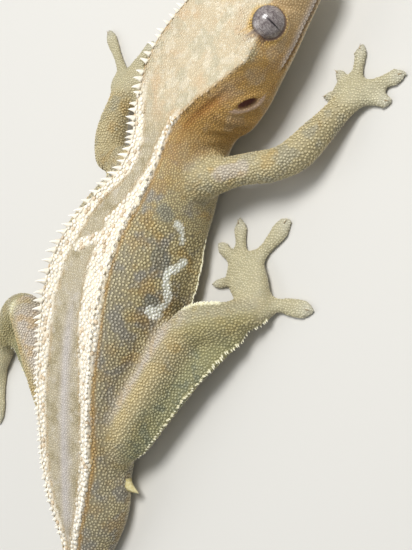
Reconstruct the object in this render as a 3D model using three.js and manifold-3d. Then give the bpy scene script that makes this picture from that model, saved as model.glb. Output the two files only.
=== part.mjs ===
// An adult crested gecko (Correlophus ciliatus), life size, walking on a flat floor with its head turned to its
// right. Millimetres, +Z up, +Y towards the head along the hips, +X to the animal's right. The origin is under
// the middle of the whole animal, at the floor.
import * as THREE from "three";
import { mergeVertices } from "three/addons/utils/BufferGeometryUtils.js";
import Module from "manifold-3d";

const wasm = await Module();
wasm.setup();

// Driving dimensions
const GAP = 0.3; // between two parts that touch
const EYE_RADIUS = 3.3;
const EYE_FROM_SNOUT = 13.5;
const EYE_HEIGHT = 13.2;
const EYE_OFF_MIDLINE = 5.7;
const EYE_RIM_OUT = 0.6; // of the eye's centre
const EAR_FROM_SNOUT = 27.3;
const EAR_HEIGHT = 11.2;
const MOUTH_LENGTH = 19.5;
const NECK_FROM_SNOUT = 37;
const SPINE_LENGTH = 1.5; // the longest crest spines, on the nape
const SPINE_SPACING = 2.1;
const CREST_START = 15.5; // from the snout, behind the eye
const SPUR_FROM_SNOUT = 116.5;
const CREST_END = 125; // where the two crests meet on the root of the tail

// The body from the snout to the root of the tail. Each station has its place on the floor plan and its section:
// crest is the half distance between the two crests, top their height, dome the rise of the back between them,
// wide the greatest half width and wideAt its height, belly the half width of the flat underside, low its height,
// and hollow how far the flank falls straight down from the crest before it swells (1 is a plain round).
const STATION_KEYS = ["x", "y", "crest", "top", "dome", "wide", "wideAt", "belly", "low", "hollow"];
const STATIONS = [
  [37.6, 59.5, 1.3, 11.2, 0.1, 2.3, 8.8, 1.2, 7.2, 1.0], // snout tip
  [36.8, 58.7, 2.4, 12.6, 0.2, 4.3, 8.7, 2.2, 5.9, 1.0],
  [34.5, 56.3, 3.1, 13.6, 0.4, 5.9, 8.6, 3.0, 5.1, 1.0],
  [31.6, 52.9, 3.4, 15.1, 0.3, 7.2, 8.5, 4.0, 4.6, 1.1],
  [28.9, 49.9, 4.5, 16.5, 0.1, 8.8, 8.3, 4.8, 4.3, 1.2], // eyes
  [27.7, 48.5, 5.6, 16.9, 0.0, 9.4, 8.2, 5.1, 4.2, 1.3],
  [26.2, 46.9, 9.2, 17.2, -0.1, 10.4, 7.9, 5.6, 4.1, 1.4],
  [23.0, 43.8, 9.7, 17.4, -0.3, 12.0, 7.5, 6.6, 3.8, 1.6], // corner of the mouth
  [19.4, 40.3, 9.1, 17.7, -0.5, 13.6, 7.2, 7.4, 3.4, 1.6], // ears
  [16.1, 37.3, 8.4, 17.8, -0.6, 14.0, 6.8, 7.6, 3.1, 1.6],
  [13.2, 34.0, 7.5, 17.4, -0.3, 13.0, 6.8, 7.2, 2.8, 1.4],
  [10.9, 29.8, 5.8, 16.8, 0.0, 11.6, 6.8, 6.6, 2.4, 1.2],
  [9.4, 25.0, 4.5, 16.2, 0.3, 10.8, 6.6, 6.2, 1.8, 1.0], // neck
  [7.9, 20.2, 4.5, 16.2, 0.4, 11.1, 6.0, 6.6, 1.0, 1.0], // shoulders
  [5.7, 15.2, 5.0, 16.7, 0.3, 12.4, 5.2, 7.8, 0.4, 1.0],
  [2.2, 9.0, 6.0, 17.7, 0.1, 14.6, 4.2, 9.2, 0, 1.0],
  [-0.7, 1.1, 7.0, 18.5, 0.0, 16.0, 3.4, 10.2, 0, 1.0], // widest part of the belly
  [-2.4, -7.0, 7.2, 18.5, 0.0, 15.7, 3.2, 10.0, 0, 1.0],
  [-3.3, -15.5, 7.0, 17.6, 0.1, 14.2, 3.4, 9.0, 0, 1.0],
  [-3.5, -25.5, 6.6, 16.0, 0.3, 11.4, 4.2, 7.2, 0, 1.0],
  [-3.4, -35.0, 6.3, 14.2, 0.4, 9.4, 4.8, 5.8, 0.3, 1.0], // hips
  [-3.1, -43.0, 5.6, 12.6, 0.5, 8.4, 4.8, 5.2, 0.3, 1.0], // vent
  [-2.9, -49.0, 4.2, 11.2, 0.6, 8.8, 4.0, 5.4, 0, 1.0],
  [-2.9, -54.5, 2.4, 9.8, 0.6, 7.1, 3.8, 4.4, 0, 1.0],
  [-3.2, -59.5, 1.2, 8.2, 0.3, 4.9, 3.8, 3.0, 0, 1.0],
  [-3.9, -64.0, 0.7, 7.0, 0.2, 3.7, 3.6, 2.2, 0, 1.0], // root of the tail
];
const HALF_RING = 10; // intervals from the middle of the back to the middle of the belly

// A row of number lists joined by a smooth curve, read at a distance along it.
function smooth(keys, rows) {
  const width = rows[0].length;
  return (distance) => {
    const curve = new THREE.CubicInterpolant(keys, Float64Array.from(rows.flat()), width);
    return Array.from(curve.evaluate(THREE.MathUtils.clamp(distance, keys[0], keys.at(-1))));
  };
}

// Distances from the first of a row of points to each of them.
function runs(points) {
  const found = [0];
  for (let i = 1; i < points.length; i += 1) found.push(found[i - 1] + points[i].distanceTo(points[i - 1]));
  return found;
}

const stationRuns = runs(STATIONS.map(([x, y]) => new THREE.Vector3(x, y, 0)));
const BODY_LENGTH = stationRuns.at(-1);
const stationAt = smooth(stationRuns, STATIONS);

// The body's section at a distance from the snout, with the directions of its floor plan.
function section(distance) {
  const values = stationAt(distance);
  const found = Object.fromEntries(STATION_KEYS.map((key, i) => [key, values[i]]));
  found.low = Math.max(found.low, 0);
  const step = 0.4;
  const [x0, y0] = stationAt(distance - step);
  const [x1, y1] = stationAt(distance + step);
  const forward = new THREE.Vector3(x0 - x1, y0 - y1, 0).normalize();
  const right = new THREE.Vector3(forward.y, -forward.x, 0);
  return { ...found, forward, right };
}

// The right half of a section as [sideways, height], from the middle of the back to the middle of the belly.
// grow swells it on every side.
function halfProfile(s, grow = 0) {
  const [crest, top, wide] = [s.crest, s.top + grow, s.wide + grow];
  const belly = s.belly;
  const low = s.low - grow;
  const points = [
    [0, top + s.dome],
    [crest * 0.5, top + s.dome * 0.75],
    [crest + grow * 0.5, top],
  ];
  const flankSteps = 4;
  for (let i = 1; i <= flankSteps; i += 1) {
    const turn = (i / flankSteps) * (Math.PI / 2);
    points.push([
      THREE.MathUtils.lerp(crest, wide, Math.sin(turn) ** (1.12 * s.hollow)),
      THREE.MathUtils.lerp(s.wideAt, top, Math.cos(turn) ** 0.9),
    ]);
  }
  for (const turn of [Math.PI / 6, Math.PI / 3]) {
    points.push([
      THREE.MathUtils.lerp(belly, wide, Math.cos(turn)),
      THREE.MathUtils.lerp(s.wideAt, low, Math.sin(turn)),
    ]);
  }
  points.push([belly * 0.94, low], [0, low]);
  return points;
}

// A place in space from a section: sideways is to the animal's right.
function placed(s, sideways, height) {
  return new THREE.Vector3(s.x, s.y, height).addScaledVector(s.right, sideways);
}

// The half width of a section at a height below its crest.
function halfWidthAt(s, height) {
  const profile = halfProfile(s).slice(2, HALF_RING);
  for (let i = 1; i < profile.length; i += 1) {
    const [[w0, z0], [w1, z1]] = [profile[i - 1], profile[i]];
    if (height <= z0 && height >= z1) return THREE.MathUtils.mapLinear(height, z0, z1, w0, w1);
  }
  return s.wide;
}

// A geometry as a manifold solid, and back.
function solid(geometry) {
  const bare = geometry.clone();
  bare.deleteAttribute("normal");
  bare.deleteAttribute("uv");
  const merged = mergeVertices(bare, 1e-4);
  return new wasm.Manifold(
    new wasm.Mesh({
      numProp: 3,
      vertProperties: Float32Array.from(merged.attributes.position.array),
      triVerts: Uint32Array.from(merged.index.array),
    }),
  );
}

function geometryOf(made) {
  const { vertProperties, triVerts } = made.getMesh();
  const geometry = new THREE.BufferGeometry();
  geometry.setAttribute("position", new THREE.BufferAttribute(vertProperties, 3));
  geometry.setIndex(new THREE.BufferAttribute(triVerts, 1));
  const flat = geometry.toNonIndexed();
  flat.computeVertexNormals();
  return flat;
}

const joined = (solids) => solids.reduce((a, b) => a.add(b));
const largest = (made) => made.decompose().reduce((a, b) => (b.volume() > a.volume() ? b : a));

// A closed tube through rows of ring points, each row going from the top round by the left, with a middle point.
function tube(rows) {
  const sides = rows[0].ring.length;
  const shape = new THREE.CylinderGeometry(1, 1, 1, sides, rows.length - 1);
  const place = shape.attributes.position;
  for (let i = 0; i < place.count; i += 1) {
    const row = rows[Math.round((0.5 - place.getY(i)) * (rows.length - 1))];
    const turn = Math.atan2(place.getX(i), place.getZ(i)) / (2 * Math.PI);
    const column = Math.round((turn + 1) * sides) % sides;
    const onRim = Math.hypot(place.getX(i), place.getZ(i)) > 0.5;
    place.setXYZ(i, ...(onRim ? row.ring[column] : row.middle).toArray());
  }
  return solid(shape);
}

function bodyRow(distance, grow = 0) {
  const s = section(distance);
  const half = halfProfile(s, grow);
  const left = half.map(([sideways, height]) => placed(s, -sideways, height));
  const right = half.slice(1, HALF_RING).map(([sideways, height]) => placed(s, sideways, height));
  return { ring: [...left, ...right.reverse()], middle: placed(s, 0, (s.top + s.low) / 2) };
}

// The body's rows are close on the head and wider apart on the trunk. The tube runs from the tail to the snout.
function bodyTube(grow = 0) {
  const distances = [];
  for (let d = 0; d < BODY_LENGTH; d += d < NECK_FROM_SNOUT ? 2 : 3.4) distances.push(d);
  distances.push(BODY_LENGTH);
  return tube(distances.reverse().map((d) => bodyRow(d, grow)));
}

// A limb, toe or tail: a tube of oval rings along a smooth curve. Each joint is [x, y, z, half width, half height].
// Rings stop at the floor, which leaves flats underneath. grow swells the tube on every side, and past the floor.
function limbTube(joints, { sides = 10, spacing = 2.4, grow = 0 } = {}) {
  const keys = runs(joints.map(([x, y, z]) => new THREE.Vector3(x, y, z)));
  const at = smooth(keys, joints);
  const steps = Math.max(4, Math.round(keys.at(-1) / spacing));
  const rows = [];
  for (let i = 0; i <= steps; i += 1) {
    const distance = (i / steps) * keys.at(-1);
    const [x, y, z, halfWidth, halfHeight] = at(distance);
    const ahead = new THREE.Vector3(...at(distance + 0.3).slice(0, 3));
    const travel = ahead.sub(new THREE.Vector3(...at(distance - 0.3).slice(0, 3))).normalize();
    const leftward = new THREE.Vector3(0, 0, 1).cross(travel).normalize();
    const up = travel.clone().cross(leftward);
    const middle = new THREE.Vector3(x, y, z);
    if (i === 0) middle.addScaledVector(travel, -grow);
    if (i === steps) middle.addScaledVector(travel, grow);
    const ring = [];
    for (let k = 0; k < sides; k += 1) {
      const turn = (k / sides) * 2 * Math.PI;
      const point = middle.clone().addScaledVector(up, Math.cos(turn) * (halfHeight + grow));
      point.addScaledVector(leftward, Math.sin(turn) * (halfWidth + grow));
      point.z = Math.max(point.z, -grow);
      ring.push(point);
    }
    rows.push({ ring, middle });
  }
  return tube(rows);
}

// An ellipsoid with half sizes along its own axes, turned so that its Y axis points along forward.
function ellipsoid(centre, halfSizes, forward, around = 16, along = 10) {
  const shape = new THREE.SphereGeometry(1, around, along);
  shape.scale(...halfSizes);
  const right = new THREE.Vector3().crossVectors(forward, new THREE.Vector3(0, 0, 1)).normalize();
  const up = new THREE.Vector3().crossVectors(right, forward);
  shape.applyMatrix4(new THREE.Matrix4().makeBasis(right, forward, up));
  shape.translate(...centre.toArray());
  return solid(shape);
}

// A spine or claw: a cone from a root sunk below the surface to its tip.
function spike(root, direction, radius, length, sides = 5) {
  const sunk = radius * 1.2;
  const shape = new THREE.ConeGeometry(radius * (1 + sunk / length), length + sunk, sides);
  shape.translate(0, (length - sunk) / 2, 0);
  const turn = new THREE.Quaternion().setFromUnitVectors(new THREE.Vector3(0, 1, 0), direction.clone().normalize());
  shape.applyQuaternion(turn);
  shape.translate(...root.toArray());
  return solid(shape);
}

// A thin disc that parts two pieces. Its faces look along direction.
function partingDisc(centre, direction, radius) {
  const shape = new THREE.CylinderGeometry(radius, radius, GAP, 24);
  const turn = new THREE.Quaternion().setFromUnitVectors(new THREE.Vector3(0, 1, 0), direction.clone().normalize());
  shape.applyQuaternion(turn);
  shape.translate(...centre.toArray());
  return solid(shape);
}

// Small differences between like pieces, the same on every run.
let seed = 41;
function varied(amount) {
  seed = (seed * 1103515245 + 12345) % 2147483648;
  return 1 + amount * (2 * (seed / 2147483648) - 1);
}

// Crests: a row of spines on each side, from above the eye to the root of the tail, longest on the nape.
function crestSpines(side) {
  const spines = [];
  for (let d = CREST_START; d < CREST_END; d += SPINE_SPACING * varied(0.12)) {
    const s = section(d);
    const alongBack = THREE.MathUtils.smoothstep(d, 50, CREST_END);
    const onBrow = THREE.MathUtils.smoothstep(d, CREST_START, CREST_START + 8);
    const length = SPINE_LENGTH * THREE.MathUtils.lerp(0.6, 1, onBrow) * (1 - 0.4 * alongBack) * varied(0.18);
    const root = placed(s, side * s.crest, s.top - 0.1);
    const direction = s.right.clone().multiplyScalar(side * 0.9).addScaledVector(s.forward, -0.1);
    direction.z = 0.38;
    spines.push(spike(root, direction, 0.48, length, 4));
  }
  return spines;
}

// Head: its own directions, and places on it measured back from the snout
const snout = section(6);
const headAt = (fromSnout, sideways, height) => placed(section(fromSnout), sideways, height);
const eyeCentre = (side) => headAt(EYE_FROM_SNOUT, side * EYE_OFF_MIDLINE, EYE_HEIGHT);

// The brow is a low ridge over the eye, in line with the crest.
function brow(side) {
  const centre = headAt(EYE_FROM_SNOUT + 0.2, side * (EYE_OFF_MIDLINE - 1.6), EYE_HEIGHT + 2.8);
  return ellipsoid(centre, [1.2, 4.2, 0.8], snout.forward, 10, 6);
}

// The ring of skin round the eye stands a little proud of the cheek, and the eyeball looks out of it.
function eyeRim(side) {
  const outward = snout.right.clone().multiplyScalar(side * EYE_RIM_OUT);
  return ellipsoid(eyeCentre(side).add(outward), [1.7, EYE_RADIUS + 0.9, EYE_RADIUS + 0.7], snout.forward, 14, 8);
}

// Lips: a low rounded band above the line of the mouth, on both sides.
function mouthHeight(fromSnout) {
  return 8.1 - 0.5 * Math.sin((fromSnout / MOUTH_LENGTH) * Math.PI) + 0.01 * fromSnout;
}

function lip(side) {
  const joints = [];
  for (let d = 1.2; d <= MOUTH_LENGTH; d += 3.1) {
    const height = mouthHeight(d) + 0.65;
    const s = section(d);
    const place = placed(s, side * (halfWidthAt(s, height) - 0.15), height);
    joints.push([...place.toArray(), 0.5, 0.5]);
  }
  return limbTube(joints, { sides: 6, spacing: 3 });
}

// The ear is a slanting slot that runs down and forwards, with a cup behind it.
function earCup(side) {
  const s = section(EAR_FROM_SNOUT);
  const centre = placed(s, side * (halfWidthAt(s, EAR_HEIGHT) - 0.1), EAR_HEIGHT);
  const slant = s.forward.clone().multiplyScalar(0.6);
  slant.z = -0.8;
  return ellipsoid(centre, [0.95, 2.6, 1.2], slant, 10, 6);
}

function nostril(side) {
  const s = section(1.9);
  const centre = placed(s, side * (halfWidthAt(s, 11) + 0.05), 11);
  return ellipsoid(centre, [0.5, 0.62, 0.42], s.forward, 8, 6);
}

// A thin bent sheet through the head: along the line of the mouth, then down behind the chin.
function jawCut() {
  const line = [];
  for (let d = -3; d <= MOUTH_LENGTH; d += 4.5) line.push([d, mouthHeight(Math.max(d, 0))]);
  line.push([MOUTH_LENGTH + 3.4, 5.4], [MOUTH_LENGTH + 5.0, 0]);
  const outline = new THREE.Shape();
  line.forEach(([d, z], i) => (i ? outline.lineTo(d, z) : outline.moveTo(d, z)));
  [...line].reverse().forEach(([d, z], i) => outline.lineTo(d + (i < 2 ? GAP : 0), z + GAP));
  const width = 40;
  const shape = new THREE.ExtrudeGeometry(outline, { depth: width, bevelEnabled: false });
  // The outline's x runs back from the snout, its y is height, and the sheet's depth is sideways.
  const { forward, right } = section(10);
  const back = forward.clone().negate();
  shape.translate(0, 0, -width / 2);
  shape.applyMatrix4(new THREE.Matrix4().makeBasis(back, new THREE.Vector3(0, 0, 1), right.clone().negate()));
  const tip = section(0);
  shape.translate(tip.x, tip.y, 0);
  return solid(shape);
}

// Spurs: one pale horn-like scale on each side of the vent.
function spur(side, grow = 0) {
  const s = section(SPUR_FROM_SNOUT);
  const root = placed(s, side * (halfWidthAt(s, 4.6) - 0.3), 4.6);
  const direction = s.right.clone().multiplyScalar(side).addScaledVector(s.forward, -0.5);
  direction.z = 0.15;
  return spike(root, direction, 1.0 + grow, 1.9 + 2 * grow, 7);
}

// Tail: laid on the floor in a slack curve, slim, with a flat pad at its end.
const TAIL_ROUTE = [
  [-3.9, -58],
  [-5.0, -70],
  [-9.0, -85],
  [-15.5, -100],
  [-21.0, -115],
  [-22.5, -130],
  [-17.5, -143],
  [-9.5, -150],
];
const TAIL_ROOT_RADIUS = 3.7;
const TAIL_THIN_RADIUS = 1.5;
const TAIL_PAD = { halfWidth: 2.5, halfHeight: 0.75, share: 0.12 };

function tailSolid() {
  const route = new THREE.CatmullRomCurve3(TAIL_ROUTE.map(([x, y]) => new THREE.Vector3(x, y, 0)));
  const count = 26;
  const joints = [];
  for (let i = 0; i <= count; i += 1) {
    const share = i / count;
    const { x, y } = route.getPointAt(share);
    const radius = THREE.MathUtils.lerp(TAIL_ROOT_RADIUS, TAIL_THIN_RADIUS, share ** 0.55);
    const pad = THREE.MathUtils.smoothstep(share, 1 - 2 * TAIL_PAD.share, 1 - TAIL_PAD.share);
    const tip = 1 - 0.75 * THREE.MathUtils.smoothstep(share, 0.965, 1);
    const halfWidth = THREE.MathUtils.lerp(radius, TAIL_PAD.halfWidth, pad) * tip;
    const halfHeight = THREE.MathUtils.lerp(radius, TAIL_PAD.halfHeight, pad) * (0.4 + 0.6 * tip);
    joints.push([x, y, halfHeight * 0.92, halfWidth, halfHeight]);
  }
  return limbTube(joints, { sides: 10, spacing: 3 });
}

// Limbs. Bones run from inside the body outwards: [x, y, z, half width, half height]. The upper bone is the first
// part, the lower bone the second, and the palm and toes the third. A flap is the fold of skin behind a leg.
// Toes run from the palm to the tip of the pad: [base x, base y, tip x, tip y, half width of the pad].
const LIMBS = {
  arm_right: {
    parts: ["upper_arm_right", "forearm_right", "hand_right"],
    upper: [
      [10.0, 15.4, 8.6, 4.6, 4.6],
      [17.0, 17.4, 8.6, 4.1, 4.2],
      [25.5, 20.0, 7.6, 3.0, 3.2],
      [33.6, 21.7, 6.4, 3.1, 3.3],
      [36.0, 22.6, 6.0, 2.6, 2.8],
    ],
    lower: [
      [33.6, 21.9, 6.2, 3.1, 3.3],
      [36.6, 23.4, 5.6, 3.3, 3.4],
      [39.4, 27.0, 4.6, 3.1, 3.1],
      [42.4, 31.6, 3.1, 2.6, 2.4],
      [43.4, 33.6, 2.4, 2.8, 2.0],
    ],
    palm: [
      [42.6, 32.0, 2.5, 2.2, 1.8],
      [43.5, 34.4, 1.9, 3.6, 2.0],
      [44.2, 36.4, 1.5, 4.4, 1.7],
      [44.6, 39.0, 0.9, 3.4, 1.0],
    ],
    toes: [
      [41.8, 35.6, 37.2, 35.4, 1.2],
      [42.4, 37.8, 39.2, 40.2, 1.3],
      [44.2, 38.6, 44.0, 45.0, 1.55],
      [46.8, 37.2, 54.4, 39.8, 1.7],
      [46.8, 35.0, 52.4, 34.8, 1.5],
    ],
  },
  arm_left: {
    parts: ["upper_arm_left", "forearm_left", "hand_left"],
    upper: [
      [4.0, 18.4, 8.4, 4.4, 4.4],
      [-2.0, 19.8, 8.4, 4.0, 4.2],
      [-7.6, 20.2, 7.4, 3.1, 3.3],
      [-12.4, 20.8, 6.4, 3.1, 3.3],
      [-14.0, 22.2, 5.8, 2.6, 2.8],
    ],
    lower: [
      [-12.2, 20.6, 6.0, 3.0, 3.2],
      [-13.8, 22.8, 5.4, 3.4, 3.4],
      [-14.8, 27.4, 4.6, 3.4, 3.2],
      [-15.8, 32.4, 3.1, 3.0, 2.4],
      [-16.2, 34.6, 2.4, 3.1, 2.0],
    ],
    palm: [
      [-16.0, 33.2, 2.5, 2.6, 1.8],
      [-16.4, 35.8, 1.9, 3.8, 2.0],
      [-16.8, 38.0, 1.5, 4.4, 1.7],
      [-17.2, 40.4, 0.9, 3.4, 1.0],
    ],
    toes: [
      [-14.2, 36.0, -10.2, 31.6, 1.2],
      [-13.6, 37.6, -6.8, 35.8, 1.3],
      [-13.8, 39.4, -6.4, 40.8, 1.6],
      [-15.2, 41.0, -10.4, 46.4, 1.75],
      [-18.8, 40.2, -26.0, 49.2, 1.6],
    ],
  },
  leg_right: {
    parts: ["thigh_right", "shin_right", "foot_right"],
    upper: [
      [2.4, -38.2, 5.6, 3.9, 4.0],
      [7.0, -32.8, 7.0, 4.1, 4.6],
      [11.4, -24.4, 7.3, 4.2, 4.7],
      [15.4, -15.6, 7.2, 4.1, 4.4],
      [18.0, -11.0, 7.0, 3.9, 4.1],
      [20.0, -9.2, 6.6, 3.0, 3.2],
    ],
    lower: [
      [17.4, -10.6, 6.8, 3.6, 3.8],
      [20.4, -9.2, 6.5, 4.0, 4.0],
      [24.6, -8.2, 5.4, 3.8, 3.7],
      [29.0, -6.4, 3.8, 3.0, 2.9],
      [31.6, -5.4, 2.8, 2.6, 2.4],
    ],
    flap: [
      [2.4, -38.2, 5.8, 2.6, 1.8],
      [7.4, -34.6, 5.8, 4.0, 1.8],
      [12.8, -26.0, 5.6, 4.8, 1.7],
      [17.8, -18.6, 5.2, 4.9, 1.7],
      [23.0, -13.0, 4.4, 4.4, 1.6],
      [28.4, -8.8, 3.4, 2.8, 1.3],
    ],
    palm: [
      [32.8, -6.6, 1.9, 2.0, 1.8],
      [30.6, -4.2, 2.1, 3.2, 2.3],
      [27.6, -0.8, 1.7, 4.7, 2.1],
      [25.2, 2.0, 1.4, 4.9, 1.7],
      [23.6, 4.6, 0.9, 3.9, 1.0],
    ],
    toes: [
      [24.0, -0.2, 16.8, -1.6, 1.2],
      [23.0, 2.6, 16.6, 6.6, 1.6],
      [23.6, 4.4, 21.2, 11.6, 1.8],
      [26.8, 3.4, 33.6, 12.6, 2.1],
      [30.0, -3.4, 42.4, -3.4, 2.05],
    ],
  },
  leg_left: {
    parts: ["thigh_left", "shin_left", "foot_left"],
    upper: [
      [-7.6, -37.6, 5.8, 4.2, 4.2],
      [-13.0, -32.0, 7.8, 4.6, 5.0],
      [-19.6, -23.4, 8.8, 4.5, 4.9],
      [-25.6, -15.8, 9.0, 4.2, 4.5],
      [-28.8, -13.2, 8.8, 3.8, 4.0],
      [-30.4, -12.8, 8.4, 3.0, 3.2],
    ],
    lower: [
      [-28.6, -13.0, 8.6, 3.4, 3.6],
      [-31.4, -13.8, 7.8, 4.0, 4.0],
      [-35.4, -16.6, 6.2, 3.8, 3.7],
      [-39.6, -20.0, 4.0, 3.0, 2.9],
      [-41.8, -21.8, 2.9, 2.6, 2.4],
    ],
    flap: [
      [-8.8, -38.2, 5.8, 2.6, 1.8],
      [-13.8, -35.0, 6.0, 4.0, 1.8],
      [-20.6, -28.2, 6.4, 4.8, 1.7],
      [-26.8, -22.6, 6.4, 4.8, 1.7],
      [-32.4, -20.0, 5.4, 4.2, 1.6],
      [-37.4, -20.0, 4.0, 2.6, 1.3],
    ],
    palm: [
      [-41.4, -20.4, 1.9, 2.0, 1.8],
      [-42.8, -23.2, 2.1, 3.2, 2.3],
      [-45.6, -26.2, 1.7, 4.7, 2.1],
      [-48.2, -28.0, 1.4, 4.9, 1.7],
      [-50.4, -29.2, 0.9, 3.9, 1.0],
    ],
    toes: [
      [-47.4, -24.6, -50.4, -17.6, 1.2],
      [-49.8, -26.0, -56.0, -21.2, 1.6],
      [-50.8, -28.4, -58.6, -28.8, 1.8],
      [-48.6, -30.8, -54.4, -40.6, 2.1],
      [-43.8, -28.6, -42.6, -40.8, 2.05],
    ],
  },
};
const TOE_HALF_HEIGHT = 0.85;
const CLAW_LENGTH = 1.0;

// A toe narrows behind its pad. The pad is broad and flat, and a small claw stands out of its tip.
function toe([baseX, baseY, tipX, tipY, pad]) {
  const between = (share) => [
    THREE.MathUtils.lerp(baseX, tipX, share),
    THREE.MathUtils.lerp(baseY, tipY, share),
  ];
  const joints = [
    [...between(0), 0.8, pad * 0.9, TOE_HALF_HEIGHT * 1.35],
    [...between(0.35), 0.75, pad * 0.72, TOE_HALF_HEIGHT * 1.1],
    [...between(0.68), 0.6, pad, TOE_HALF_HEIGHT],
    [...between(0.88), 0.5, pad * 0.94, TOE_HALF_HEIGHT * 0.86],
    [...between(1), 0.4, pad * 0.45, TOE_HALF_HEIGHT * 0.62],
  ];
  const direction = new THREE.Vector3(tipX - baseX, tipY - baseY, 0).normalize();
  const [x, y] = between(0.97);
  const claw = spike(new THREE.Vector3(x, y, 0.62), direction, 0.36, CLAW_LENGTH, 4);
  return limbTube(joints, { sides: 8, spacing: 2 }).add(claw);
}

// The body and its spurs grown by the gap, which trims the roots of the limbs
const trunkGrown = joined([bodyTube(GAP), spur(1, GAP), spur(-1, GAP)]);

// Each part of a limb meets the one before it face to face, as what the one before it leaves free.
function limbPieces({ parts, upper, lower, flap, palm, toes }) {
  const first = [limbTube(upper)];
  const firstGrown = [limbTube(upper, { grow: GAP })];
  if (flap) {
    first.push(limbTube(flap, { sides: 8, spacing: 4 }));
    firstGrown.push(limbTube(flap, { sides: 8, spacing: 4, grow: GAP }));
  }
  const before = joined([...firstGrown, trunkGrown]);
  const made = [
    joined(first).subtract(trunkGrown),
    limbTube(lower).subtract(before),
    joined([limbTube(palm, { spacing: 2 }), ...toes.map(toe)]).subtract(limbTube(lower, { grow: GAP })).subtract(before),
  ];
  return made.map((piece, i) => [parts[i], piece]);
}

// The body is one solid, parted into lengths by thin discs square to its line
const BODY_PARTS = [
  ["head", 0],
  ["neck", NECK_FROM_SNOUT],
  ["chest", 46],
  ["abdomen", 64],
  ["pelvis", 90],
  ["tail_root", 114.5],
];
const TAIL_PARTS = [
  ["tail_middle", 0.2],
  ["tail_end", 0.6],
];

function bodyPieces() {
  let whole = bodyTube().add(tailSolid());
  for (const side of [-1, 1]) {
    whole = joined([whole, brow(side), eyeRim(side), lip(side), spur(side), ...crestSpines(side)]);
    const socket = ellipsoid(eyeCentre(side), Array(3).fill(EYE_RADIUS + GAP), snout.forward, 14, 8);
    whole = whole.subtract(socket).subtract(earCup(side)).subtract(nostril(side));
  }
  const walls = BODY_PARTS.slice(1).map(([, distance]) => {
    const s = section(distance);
    return partingDisc(placed(s, 0, s.top / 2), s.forward, 26);
  });
  const route = new THREE.CatmullRomCurve3(TAIL_ROUTE.map(([x, y]) => new THREE.Vector3(x, y, 2)));
  for (const [, share] of TAIL_PARTS) walls.push(partingDisc(route.getPointAt(share), route.getTangentAt(share), 8));
  whole = walls.reduce((made, wall) => made.subtract(wall), whole);

  const names = [...BODY_PARTS, ...TAIL_PARTS].map(([name]) => name);
  const found = whole.decompose().sort((a, b) => b.volume() - a.volume()).slice(0, names.length);
  found.sort((a, b) => b.boundingBox().max[1] - a.boundingBox().max[1]);
  const pieces = new Map(found.map((made, i) => [names[i], made]));
  const jaws = pieces.get("head").subtract(jawCut()).decompose().sort((a, b) => b.volume() - a.volume());
  pieces.set("head", jaws[0]);
  pieces.set("lower_jaw", jaws[1]);
  return [...pieces];
}

function eyePieces() {
  return [
    ["eye_right", 1],
    ["eye_left", -1],
  ].map(([name, side]) => [name, ellipsoid(eyeCentre(side), Array(3).fill(EYE_RADIUS), snout.forward, 16, 10)]);
}

const SKIN = { color: 0xa08a5c, roughness: 0.72, metalness: 0 };
const HEAD_SKIN = { color: 0xc2a877, roughness: 0.7, metalness: 0 };
const EYE_SURFACE = { color: 0x8d8783, roughness: 0.12, metalness: 0 };

function materialFor(name) {
  if (name.startsWith("eye")) return new THREE.MeshStandardMaterial(EYE_SURFACE);
  if (name === "head") return new THREE.MeshStandardMaterial(HEAD_SKIN);
  return new THREE.MeshStandardMaterial(SKIN);
}

const gecko = new THREE.Group();
const pieces = [...bodyPieces(), ...eyePieces(), ...Object.values(LIMBS).flatMap(limbPieces)];
for (const [name, made] of pieces) {
  const mesh = new THREE.Mesh(geometryOf(largest(made)), materialFor(name));
  mesh.name = name;
  gecko.add(mesh);
}

// The origin goes under the middle of the whole, at the floor.
const bounds = new THREE.Box3().setFromObject(gecko);
const centre = bounds.getCenter(new THREE.Vector3());
gecko.position.set(-centre.x, -centre.y, -bounds.min.z);

export default gecko;
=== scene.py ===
# %% [markdown]
# A crested gecko at life size, dressed over its measured solids. The lesson starts from the fixed frame:
# one solid for each part of the body, in metres, with +Y towards the head and the floor at zero. Nothing
# in it is moved. The solids give every size, and the skin, the scales, the spines and the eyes are built
# over them.

# %% Load the frame
import math

import bpy
import numpy as np
from mathutils import Matrix, Vector
from mathutils.bvhtree import BVHTree
from mathutils.kdtree import KDTree


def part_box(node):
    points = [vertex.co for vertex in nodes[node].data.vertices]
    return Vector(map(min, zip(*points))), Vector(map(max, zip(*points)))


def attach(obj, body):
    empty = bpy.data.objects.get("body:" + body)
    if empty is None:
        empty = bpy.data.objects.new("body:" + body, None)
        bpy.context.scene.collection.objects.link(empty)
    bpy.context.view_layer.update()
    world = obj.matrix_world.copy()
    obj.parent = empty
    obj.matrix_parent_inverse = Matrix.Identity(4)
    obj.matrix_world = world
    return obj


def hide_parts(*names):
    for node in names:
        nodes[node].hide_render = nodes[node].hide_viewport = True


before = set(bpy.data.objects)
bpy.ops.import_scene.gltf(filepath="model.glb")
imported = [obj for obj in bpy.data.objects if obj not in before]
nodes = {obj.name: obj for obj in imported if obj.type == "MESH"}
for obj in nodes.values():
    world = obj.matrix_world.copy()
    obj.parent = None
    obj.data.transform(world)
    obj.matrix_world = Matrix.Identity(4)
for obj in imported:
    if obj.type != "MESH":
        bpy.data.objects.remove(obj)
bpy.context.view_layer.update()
MM = 0.001
FLESH = sorted(name for name in nodes if not name.startswith("eye"))
print("nodes", len(nodes), "of which flesh", len(FLESH))

# %% [markdown]
# A camera beside the animal's right flank looks down at it, as the photograph does. The camera's roll
# leans the back towards the right of the picture. It could be set by eye in the viewport, but working it
# out from an elevation, a roll and a distance keeps it exact, and those three numbers can be read back
# later.

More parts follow.
